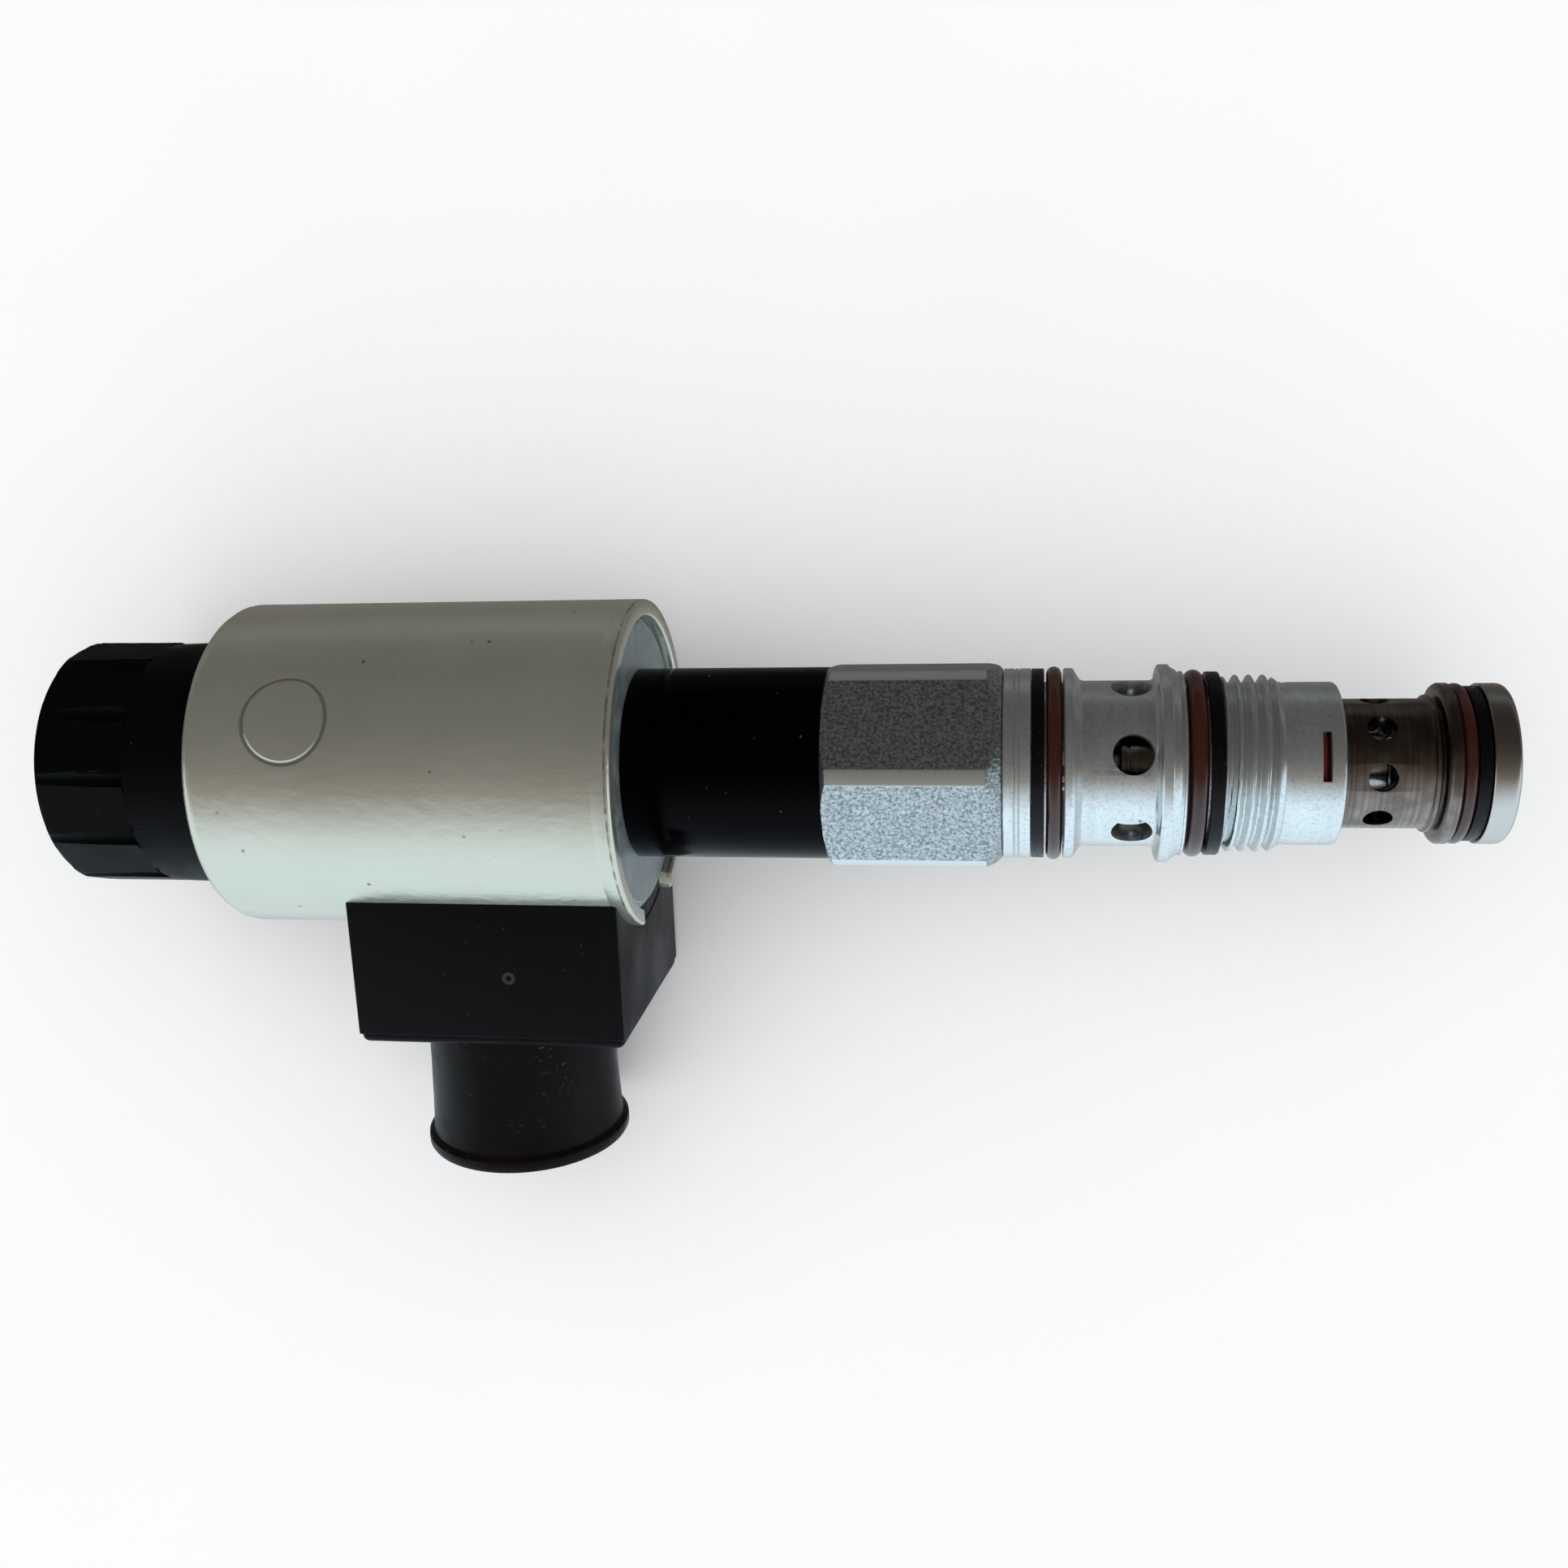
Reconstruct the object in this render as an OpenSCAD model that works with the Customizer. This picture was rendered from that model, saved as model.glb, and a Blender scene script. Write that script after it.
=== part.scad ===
// Solenoid-operated screw-in cartridge valve, lying on its coil.
// The valve axis is X, with the nose towards +X, and +Z is up.
// The origin is on the axis, in the face of the locating shoulder that seats in the manifold.

/* [Coil] */
// Outer diameter of the steel coil shell
coil_d = 38.8; // [34:0.2:50]
// Length of the coil shell
coil_len = 50.1; // [40:0.1:65]
// Wall of the coil shell
shell_wall = 1.9; // [1.4:0.1:3]
// Thickness of the shell's closed rear end
shell_end_t = 3.5; // [2.5:0.1:5]
// Depth that the front pole plate sits inside the shell's rim
plate_recess = 1; // [0.5:0.1:2]
// Thickness of the front pole plate
plate_t = 4; // [2.5:0.1:6]
// Width of the slot in the shell that the moulding comes out of
shell_slot_w = 14.4; // [10:0.2:18]
// Bevel on the shell's rear edge
shell_bevel = 1.2; // [0.4:0.1:1.4]
// Wall of the bobbin's tube
bobbin_wall = 0.9; // [0.6:0.1:1.4]
// Thickness of the bobbin's two flanges
bobbin_flange_t = 1.2; // [0.8:0.1:2]
// Depth of the copper winding
winding_depth = 6.6; // [4:0.1:7.4]

/* [Connector block] */
// Length of the moulded block along the valve
block_len = 32.4; // [28:0.1:36]
// Thickness of the block across the valve
block_t = 28.2; // [26:0.1:32]
// Distance from the valve axis to the block's mating face
block_reach = 31; // [27.5:0.1:38]
// Distance of the block behind the coil's front edge
block_setback = 1.55; // [0:0.05:3]
// Height of the thin rim around the mating face
block_rim_h = 1.1; // [0.6:0.1:2]
// Step in from the block's sides to the rim
block_rim_step = 0.2; // [0.1:0.1:1.5]
// Width of a terminal blade
blade_w = 6.3; // [5.5:0.1:7]
// Thickness of a terminal blade
blade_t = 0.8; // [0.6:0.1:1.2]
// Length of a terminal blade outside the block
blade_out = 9; // [7:0.5:12]
// Depth of a terminal blade inside the block
blade_in = 6; // [4:0.5:7]
// Distance between the two power blades
blade_pitch = 17.4; // [16:0.1:18]
// Distance from the block's centre to the earth blade
earth_offset = 7.2; // [6:0.1:8]
// Outer diameter of the brass insert for the plug's M3 screw
insert_d = 4.6; // [4.2:0.1:5.5]
// Bore of the brass insert
insert_bore_d = 2.6; // [2.4:0.1:3.2]
// Length of the brass insert
insert_len = 7; // [5:0.5:7.5]

/* [Protective cap] */
// Diameter of the cap where it meets the block
cap_d = 22.9; // [22:0.1:25]
// Diameter of the cap just above its lip
cap_end_d = 23.9; // [22:0.1:26]
// Diameter of the cap's lip
cap_lip_d = 25.3; // [24:0.1:27]
// Height of the cap's lip
cap_lip_h = 1.6; // [1:0.1:3]
// Length of the cap
cap_len = 17.2; // [16:0.1:24]
// Distance of the cap behind the middle of the block
cap_offset = 0.85; // [0:0.05:2]
// Wall of the cap
cap_wall = 1.3; // [1:0.1:1.6]
// Travel that pulls the cap clear of the blades
cap_travel = 24; // [14:1:40]

/* [Coil nut] */
// Width of the coil nut's grip across its flats
nut_af = 29.2; // [26:0.2:33]
// Diameter of the coil nut's smooth skirt
nut_skirt_d = 30; // [27:0.2:34]
// Length of the coil nut
nut_len = 20.6; // [18:0.1:28]
// Length of the lobed grip
nut_grip_len = 11.1; // [8:0.1:14]
// Number of flats around the grip
nut_flats = 12; // [8:1:14]
// Diameter of the grooves between the flats
nut_groove_d = 1.9; // [1.2:0.1:3]
// Depth of the grooves at the skirt; they run out towards the nut's end
nut_groove_depth = 1.1; // [0.5:0.1:1.3]
// Turn of the grooves about the valve axis
nut_groove_turn = -2.3; // [-15:0.1:15]
// Diameter of the thread that the nut turns on
stud_d = 12; // [10:0.5:12]
// Pitch of the thread that the nut turns on
stud_pitch = 1.5; // [1:0.25:1.5]
// Length of the thread that the nut turns on
stud_len = 12; // [9:0.5:14]
// Section of the O-ring under the nut
nut_oring_section = 1.5; // [1.2:0.1:1.9]

/* [Solenoid tube] */
// Outer diameter of the solenoid tube
tube_d = 14; // [13:0.1:16]
// Wall of the solenoid tube
tube_wall = 0.9; // [0.6:0.1:1.2]
// Length of the armature
armature_len = 22; // [18:0.5:26]
// Travel of the armature and the spool
stroke = 2.2; // [1:0.1:2.6]
// Thickness of the brass shim on the pole piece
shim_t = 0.4; // [0.2:0.1:0.8]
// Length of the pole piece inside the tube
pole_len = 21; // [15:0.5:24]
// Diameter of the push pin
pin_d = 2.4; // [2:0.1:3]

/* [Adapter] */
// Diameter of the black adapter between the coil and the hexagon
adapter_d = 22.4; // [20:0.1:24]
// Length of the adapter that shows between the coil plate and the hexagon
adapter_len = 22.7; // [15:0.1:30]
// Diameter of the adapter's threaded spigot
spigot_d = 17.4; // [16:0.1:18]
// Length of the adapter's threaded spigot
spigot_len = 10; // [8:0.5:12]
// Diameter of the pole piece's threaded end
pole_thread_d = 13; // [12:0.1:15]
// Length of the pole piece's threaded end
pole_thread_len = 9; // [6:0.5:11]

/* [Valve body] */
// Width of the wrench hexagon across its flats
hex_af = 22.225; // [20:0.1:24]
// Diameter that the hexagon's corners are turned to
hex_corner_d = 24.7; // [22:0.1:27]
// Length of the hexagon
hex_len = 19.9; // [14:0.1:24]
// Length of the steep chamfer at the hexagon's coil end
hex_lead_left = 0.5; // [0.3:0.1:1.5]
// Length of the chamfer at the hexagon's nose end
hex_lead_right = 1.6; // [0.8:0.1:2.4]
// Turn of the hexagon about the valve axis
hex_turn = -2.3; // [-30:0.1:30]
// Diameter of the locating shoulder
shoulder_d = 22.4; // [20.8:0.1:24]
// Diameter of the body's lands
land_d = 21.7; // [20.4:0.1:23.6]
// Length of the land beside the hexagon
land_len = 3.2; // [2:0.1:5]
// Length of the upper seal groove
gland_1_len = 3.6; // [3:0.1:4.5]
// Diameter of the floor of the upper seal groove
gland_1_d = 18.6; // [17.6:0.1:19]
// Length of the land between the upper seals and the upper port
port_land_len = 1.3; // [0.8:0.1:2]
// Length of the neck around the upper port's holes
port_neck_len = 9; // [7:0.1:11]
// Diameter of the neck around the upper port's holes
port_neck_d = 18.8; // [17.6:0.1:19.4]
// Diameter of the upper port's holes
port_hole_d = 4.5; // [3:0.1:5.5]
// Number of the upper port's holes
port_hole_n = 6; // [4:1:8]
// Turn of the upper port's holes
port_hole_turn = 11; // [-30:1:30]
// Thickness of the locating shoulder
shoulder_t = 1.3; // [1:0.1:2.5]
// Length of the lower seal groove
gland_2_len = 3.95; // [3.6:0.05:5]
// Diameter of the floor of the lower seal groove
gland_2_d = 17; // [16.6:0.1:17.2]
// Diameter of the small land under the shoulder
seat_d = 20.9; // [20.2:0.1:21.2]
// Length of the small land under the shoulder
seat_len = 1.5; // [1.4:0.1:2]
// Nominal diameter of the mounting thread
thread_d = 19.9; // [19:0.1:20.5]
// Pitch of the mounting thread
thread_pitch = 1.5; // [1:0.25:2]
// Depth of the mounting thread
thread_depth = 0.86; // [0.5:0.01:1]
// Number of turns of the mounting thread
thread_turns = 4; // [3:1:6]
// Length of the plain skirt below the thread
skirt_len = 6.3; // [5:0.1:9]
// Diameter of the plain skirt
skirt_d = 18.2; // [17.4:0.1:18.8]
// Width of the slot that the retaining wire is fed through
wire_slot_w = 0.95; // [0.9:0.05:1.2]
// Angle that the retaining wire's slot spans
wire_slot_angle = 37; // [20:1:60]
// Turn of the retaining wire's slot
wire_slot_turn = 10; // [-90:1:90]
// Diameter of the retaining wire
wire_d = 0.84; // [0.6:0.02:0.9]

/* [Nose] */
// Outer diameter of the nose sleeve's neck
neck_d = 14.4; // [13.6:0.1:15]
// Length of the neck below the skirt
neck_len = 10.3; // [8:0.1:13]
// Diameter of the lower port's holes
nose_hole_d = 3.1; // [2:0.1:3.6]
// Number of the lower port's holes
nose_hole_n = 8; // [4:1:8]
// Turn of the lower port's holes
nose_hole_turn = -7.3; // [-22:0.1:22]
// Distance from the skirt to the lower port's holes
nose_hole_at = 4; // [3:0.1:6]
// Diameter of the nose's first land
nose_d = 17.8; // [17.2:0.1:19]
// Diameter of the nose's end land
nose_end_d = 17.7; // [17:0.1:19]
// Length of the nose's first land
nose_land_len = 1.5; // [1:0.1:2]
// Length of the nose's seal groove
gland_3_len = 3; // [2.8:0.1:4]
// Diameter of the floor of the nose's seal groove
gland_3_d = 14.7; // [14:0.1:15.4]
// Length of the nose's end land
nose_end_len = 2.9; // [2:0.1:5]
// Bore at the nose's mouth
mouth_d = 9.6; // [9:0.1:11]
// Diameter of the spool's bore
spool_bore_d = 7.2; // [6.6:0.1:8]
// Diameter of the sleeve's guide behind the upper port
guide_d = 11.2; // [10:0.1:13]
// Length of the sleeve's guide behind the upper port
guide_len = 6.9; // [5:0.1:9]
// Depth of the nose's mouth
mouth_depth = 5; // [4.5:0.1:7]
// Thickness of the spring seat pressed into the nose
seat_plug_t = 2; // [1.5:0.1:3]
// Free length of the return spring's pocket
spring_len = 5.6; // [5:0.1:9]
// Wire diameter of the return spring
spring_wire = 0.6; // [0.4:0.05:0.7]
// Number of coils of the return spring
spring_coils = 5; // [3:1:6]

/* [Seals] */
// Section of the O-ring above the upper port
oring_1_section = 1.72; // [1.5:0.02:2]
// Section of the O-ring above the thread
oring_2_section = 2.05; // [1.7:0.05:2.2]
// Section of the O-ring on the nose
oring_3_section = 1.5; // [1.2:0.05:1.7]
// Width of the back-up rings
backup_w = 1.45; // [1:0.05:1.6]
// Radial step that the nose's back-up ring stays below the land
backup_step = 0.3; // [0.2:0.05:0.5]

/* [Fits] */
// Radial clearance of a running fit
run_fit = 0.05; // [0.02:0.01:0.1]
// Gap between pieces that touch face to face
face_gap = 0.02; // [0:0.01:0.05]

/* [Hidden] */
$fn = 96;
hull_fn = 32;
cut = 1;

// Stations along the valve axis, worked out from the locating shoulder both ways
port_left = -shoulder_t - port_neck_len;
gland_1_right = port_left - port_land_len;
gland_1_left = gland_1_right - gland_1_len;
hex_right = gland_1_left - land_len;
hex_left = hex_right - hex_len;
plate_face = hex_left - adapter_len;
coil_right = plate_face + plate_recess;
coil_left = coil_right - coil_len;
plate_back = plate_face - plate_t;
rear_inner = coil_left + shell_end_t;
gland_2_left = seat_len;
gland_2_right = gland_2_left + gland_2_len;
thread_right = gland_2_right + (thread_turns + 0.25) * thread_pitch;
skirt_right = thread_right + skirt_len;
neck_right = skirt_right + neck_len;
gland_3_left = neck_right + nose_land_len;
gland_3_right = gland_3_left + gland_3_len;
nose_right = gland_3_right + nose_end_len;
port_hole_x = -shoulder_t - 0.32 * port_neck_len;
nose_hole_x = skirt_right + nose_hole_at;

// Coil layers, from the tube outwards
coil_bore_r = tube_d / 2 + run_fit;
shell_r = coil_d / 2;
shell_in_r = shell_r - shell_wall;
bobbin_r = coil_bore_r + bobbin_wall;
winding_r = bobbin_r + winding_depth;

// The coil lies on its shell and on the cap's lip, which sets how far the connector droops
cap_top = block_reach + face_gap;
cap_end = cap_top + cap_len;
lip_r = cap_lip_d / 2;
droop = asin(shell_r / norm([cap_end, lip_r])) - atan(lip_r / cap_end);
block_right = coil_right - block_setback;
block_left = block_right - block_len;
block_mid = (block_left + block_right) / 2;
cap_mid = block_mid - cap_offset;
slot_left = block_left + 2;

// Solenoid tube and what slides in it
tube_r = tube_d / 2;
tube_in_r = tube_r - tube_wall;
tube_right = plate_face - face_gap;
tube_left = coil_left - 3.4;
pole_left = plate_face - pole_len;
armature_r = tube_in_r - 2 * run_fit;
armature_right = pole_left - shim_t - stroke - face_gap;
armature_left = armature_right - armature_len;
plug_right = armature_left - 0.3;
nut_left = coil_left - nut_len;
stud_left = tube_left - stud_len;
nut_grip_right = nut_left + nut_grip_len;
nut_seat = nut_oring_section + 2 * face_gap;

// Body bores and the spool line
pin_socket = 6;
sleeve_gland_left = 7;
sleeve_gland_right = 8.9;
wire_inset = 2.1;
pin_r = pin_d / 2;
chamber_left = gland_1_left + 2;
spigot_right = hex_left + spigot_len;
bush_r = 3.2;
sleeve_r = neck_d / 2;
guide_right = 1.4;
sleeve_left = guide_right - guide_len;
body_bore_r = sleeve_r + run_fit;
wire_x = skirt_right - wire_inset;
wire_ring_r = sleeve_r + 0.05;
bore_r = spool_bore_d / 2;
spool_r = bore_r - run_fit;
mouth_left = nose_right - mouth_depth;
seat_left = mouth_left - seat_plug_t;
spool_right = seat_left - spring_len;
spool_left = chamber_left + 1.5;
spring_r = bore_r - spring_wire / 2 - 0.3;

// A straight cylinder along the valve axis
module bar(left, right, radius) {
    translate([left, 0, 0]) rotate([0, 90, 0]) cylinder(h = right - left, r = radius);
}

// A straight tube along the valve axis
module pipe(left, right, outer, inner) {
    difference() {
        bar(left, right, outer);
        bar(left - cut, right + cut, inner);
    }
}

// A turned piece from its outline, as pairs of station and radius
module turned(outline) {
    rotate([0, 90, 0]) rotate_extrude() polygon([for (p = outline) [p[1], p[0]]]);
}

// An O-ring or wire ring around the valve axis
module ring(station, radius, section) {
    translate([station, 0, 0]) rotate([0, 90, 0]) rotate_extrude()
        translate([radius, 0]) circle(d = section, $fn = 32);
}

// Points down the crests and roots of an external thread, from left to right
function thread_points(left, turns, pitch, radius, depth) = [
    for (i = [0 : turns - 1]) for (p = [[0, 0], [0.4, -depth], [0.6, -depth], [1, 0]])
        if (p[0] < 1 || i == turns - 1) [left + (i + p[0]) * pitch + (p[0] == 0 ? 0.06 : 0), radius + p[1]]
];

// Radial holes around the valve axis, from one radius out to another
module radial_holes(station, diameter, count, turn, inner, outer) {
    for (i = [0 : count - 1])
        rotate([-turn - i * 360 / count, 0, 0])
            translate([station, 0, inner]) cylinder(h = outer - inner, d = diameter);
}

// Turns a piece drawn along -Y to where the connector points
module to_connector() {
    rotate([droop, 0, 0]) children();
}

// A box in the connector's own directions: along the valve, away from the axis, and across
module connector_box(x0, x1, u0, u1, half_t) {
    translate([x0, -u1, -half_t]) cube([x1 - x0, u1 - u0, 2 * half_t]);
}

// Deep-drawn steel can with a closed rear end and a slot for the moulding
module coil_shell() color("silver") {
    difference() {
        turned([[coil_left, coil_bore_r], [coil_left, shell_r - shell_bevel],
            [coil_left + shell_bevel, shell_r], [coil_right - 0.3, shell_r], [coil_right, shell_r - 0.3],
            [coil_right, shell_in_r], [rear_inner, shell_in_r], [rear_inner, coil_bore_r]]);
        to_connector() connector_box(slot_left, coil_right + cut, shell_in_r / 2, coil_d, shell_slot_w / 2);
    }
}

// Steel disc that closes the magnetic circuit at the front
module front_plate() color("lightsteelblue") {
    pipe(plate_back, plate_face, shell_in_r - face_gap, coil_bore_r);
}

// Nylon spool that the wire is wound on
module bobbin() color("dimgray") {
    turned([[rear_inner + face_gap, coil_bore_r], [rear_inner + face_gap, winding_r],
        [rear_inner + bobbin_flange_t, winding_r], [rear_inner + bobbin_flange_t, bobbin_r],
        [plate_back - bobbin_flange_t, bobbin_r], [plate_back - bobbin_flange_t, winding_r],
        [plate_back - face_gap, winding_r], [plate_back - face_gap, coil_bore_r]]);
}

// Enamelled copper wire, as one ring
module winding() color("peru") {
    pipe(rear_inner + bobbin_flange_t + face_gap, plate_back - bobbin_flange_t - face_gap,
        winding_r - face_gap, bobbin_r + face_gap);
}

// Nylon moulding: the fill inside the can, the neck through the slot and the connector block
module overmould() color("black") {
    difference() {
        union() {
            pipe(rear_inner + face_gap, plate_back - face_gap, shell_in_r - face_gap, winding_r + face_gap);
            to_connector() difference() {
                connector_box(slot_left + face_gap, block_right, winding_r + 1, block_reach - block_rim_h,
                    shell_slot_w / 2 - face_gap);
                bar(plate_back - face_gap, coil_right + cut, shell_in_r);
            }
            to_connector() difference() {
                union() {
                    connector_box(block_left, block_right, winding_r, block_reach - block_rim_h, block_t / 2);
                    connector_box(block_left + block_rim_step, block_right - block_rim_step, winding_r,
                        block_reach, block_t / 2 - block_rim_step);
                }
                bar(block_left - cut, coil_right + cut, shell_r + face_gap);
            }
        }
        to_connector() {
            blade_pockets(0);
            translate([cap_mid, -block_reach - cut, 0]) rotate([-90, 0, 0])
                cylinder(h = insert_len + cut + face_gap, d = insert_d + 2 * face_gap);
        }
    }
}

// The three blades' places, drawn larger by a gap
module blade_pockets(gap) {
    for (side = [-1, 1]) power_blade(side, gap);
    earth_blade_bar(gap);
}

// One power blade, flat across the valve
module power_blade(side, gap) {
    translate([cap_mid + side * blade_pitch / 2, 0, 0])
        connector_box(-blade_t / 2 - gap, blade_t / 2 + gap, block_reach - blade_in, block_reach + blade_out,
            blade_w / 2 + gap);
}

// The earth blade, flat along the valve
module earth_blade_bar(gap) {
    translate([0, 0, earth_offset])
        connector_box(cap_mid - blade_w / 2 - gap, cap_mid + blade_w / 2 + gap, block_reach - blade_in,
            block_reach + blade_out, blade_t / 2 + gap);
}

// Two tinned brass blades for the coil's supply
module power_blades() color("goldenrod") {
    to_connector() for (side = [-1, 1]) power_blade(side, 0);
}

// Tinned brass blade for the earth
module earth_blade() color("goldenrod") {
    to_connector() earth_blade_bar(0);
}

// Brass insert that takes the plug's M3 screw
module screw_insert() color("gold") {
    to_connector() translate([cap_mid, -block_reach, 0]) rotate([-90, 0, 0]) difference() {
        cylinder(h = insert_len, d = insert_d);
        translate([0, 0, -cut]) cylinder(h = insert_len, d = insert_bore_d);
    }
}

// Moulded cap pushed over the blades, with a lip to pull it by
module protective_cap() color([0.07, 0.06, 0.06]) {
    to_connector() translate([cap_mid, 0, 0]) rotate([90, 0, 0]) rotate_extrude() polygon([
        [0, cap_end - cap_wall], [cap_d / 2 - cap_wall, cap_end - cap_wall], [cap_d / 2 - cap_wall, cap_top],
        [cap_d / 2, cap_top], [cap_end_d / 2, cap_end - cap_lip_h - 0.4], [lip_r, cap_end - cap_lip_h],
        [lip_r, cap_end], [lip_r - cap_wall, cap_end], [lip_r - cap_wall, cap_end - 0.5],
        [0, cap_end - 0.5]]);
}

// Moulded nylon nut that holds the coil on the tube
module coil_nut() color([0.05, 0.05, 0.05]) {
    corner_r = nut_af / 2 / cos(180 / nut_flats);
    skirt_r = nut_skirt_d / 2;
    groove_tilt = atan((nut_groove_depth - 0.3) / nut_grip_len);
    difference() {
        union() {
            intersection() {
                rotate([-nut_groove_turn, 0, 0]) rotate([0, -90, 0]) translate([0, 0, -nut_grip_right])
                    cylinder(h = nut_grip_len, r = corner_r, $fn = nut_flats);
                turned([[nut_left, 0], [nut_left, corner_r - 0.8], [nut_left + 0.25, corner_r - 0.3],
                    [nut_left + 0.7, corner_r - 0.1], [nut_grip_right + cut, corner_r - 0.1],
                    [nut_grip_right + cut, 0]]);
            }
            turned([[nut_grip_right - 0.1, 0], [nut_grip_right - 0.1, skirt_r - 0.3],
                [coil_left - face_gap, skirt_r], [coil_left - face_gap, 0]]);
        }
        bar(stud_left - 0.8, coil_left, stud_d / 2 + run_fit);
        bar(tube_left - 0.2, coil_left, tube_r + 0.15);
        bar(coil_left - nut_seat, coil_left, tube_r + nut_oring_section + 0.5);
        for (i = [0 : nut_flats - 1])
            rotate([-nut_groove_turn - i * 360 / nut_flats, 0, 0])
                translate([nut_grip_right, 0, corner_r - nut_groove_depth + nut_groove_d / 2])
                    rotate([0, groove_tilt - 90, 0]) cylinder(h = nut_grip_len + 2, d = nut_groove_d);
    }
}

// O-ring that the nut squeezes against the coil
module nut_oring() color("saddlebrown") {
    ring(coil_left - nut_seat / 2, tube_r + nut_oring_section / 2 + 0.2, nut_oring_section);
}

// Drawn tube that holds the oil and guides the armature
module solenoid_tube() color("gainsboro") {
    pipe(tube_left, tube_right, tube_r, tube_in_r);
}

// Stop brazed into the tube's end, with the stud that takes the nut
module tube_plug() color("lightgray") {
    turns = floor((stud_len - 1) / stud_pitch);
    turned(concat([[stud_left, 0], [stud_left, stud_d / 2 - 0.9]],
        thread_points(stud_left + 0.9, turns, stud_pitch, stud_d / 2, 0.8),
        [[tube_left - face_gap, stud_d / 2 - 0.8], [tube_left - face_gap, tube_in_r - 0.1],
        [tube_left, tube_in_r - face_gap], [plug_right, tube_in_r - face_gap], [plug_right, 0]]));
}

// Soft-iron plunger with two oil grooves
module armature() color("slategray") {
    difference() {
        bar(armature_left, armature_right, armature_r);
        bar(armature_right - pin_socket, armature_right + cut, pin_r + face_gap);
        for (side = [-1, 1])
            translate([armature_left - cut, side * armature_r - 0.6, -0.6])
                cube([armature_len + 2 * cut, 1.2, 1.2]);
    }
}

// Brass washer that keeps the armature from sticking to the pole
module air_gap_shim() color("gold") {
    pipe(pole_left - shim_t, pole_left - face_gap, tube_in_r - 0.3, pin_r + 0.4);
}

// Fixed soft-iron core, screwed into the adapter
module pole_piece() color("gray") {
    difference() {
        union() {
            bar(pole_left, plate_face + face_gap, tube_in_r - face_gap);
            bar(plate_face + face_gap, plate_face + pole_thread_len, pole_thread_d / 2 - face_gap);
        }
        bar(pole_left - cut, plate_face + pole_thread_len + cut, pin_r + 0.2);
    }
}

// Hardened pin that carries the armature's push to the spool
module push_pin() color("whitesmoke") {
    bar(armature_right - pin_socket + 0.2, spool_left - face_gap, pin_r);
}

// Black steel adapter between the coil and the valve body
module adapter() color([0.03, 0.04, 0.05]) {
    difference() {
        union() {
            bar(plate_face + face_gap, hex_left - face_gap, adapter_d / 2);
            bar(hex_left - 2 * face_gap, spigot_right, spigot_d / 2 - face_gap);
        }
        bar(plate_face - cut, plate_face + pole_thread_len + 0.4, pole_thread_d / 2);
        bar(plate_face - cut, spigot_right + cut, pin_r + 0.6);
        bar(spigot_right - 4, spigot_right + cut, bush_r + face_gap);
        pipe(spigot_right - 5.5, spigot_right - 3.5, spigot_d, spigot_d / 2 - 1.4);
    }
}

// O-ring that seals the adapter's spigot in the body
module adapter_oring() color("saddlebrown") {
    ring(spigot_right - 4.5, spigot_d / 2 - 0.72, 1.3);
}

// Bronze bush that guides the push pin
module pin_bush() color("darkgoldenrod") {
    pipe(spigot_right - 4 + face_gap, spigot_right, bush_r, pin_r + run_fit);
}

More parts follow.
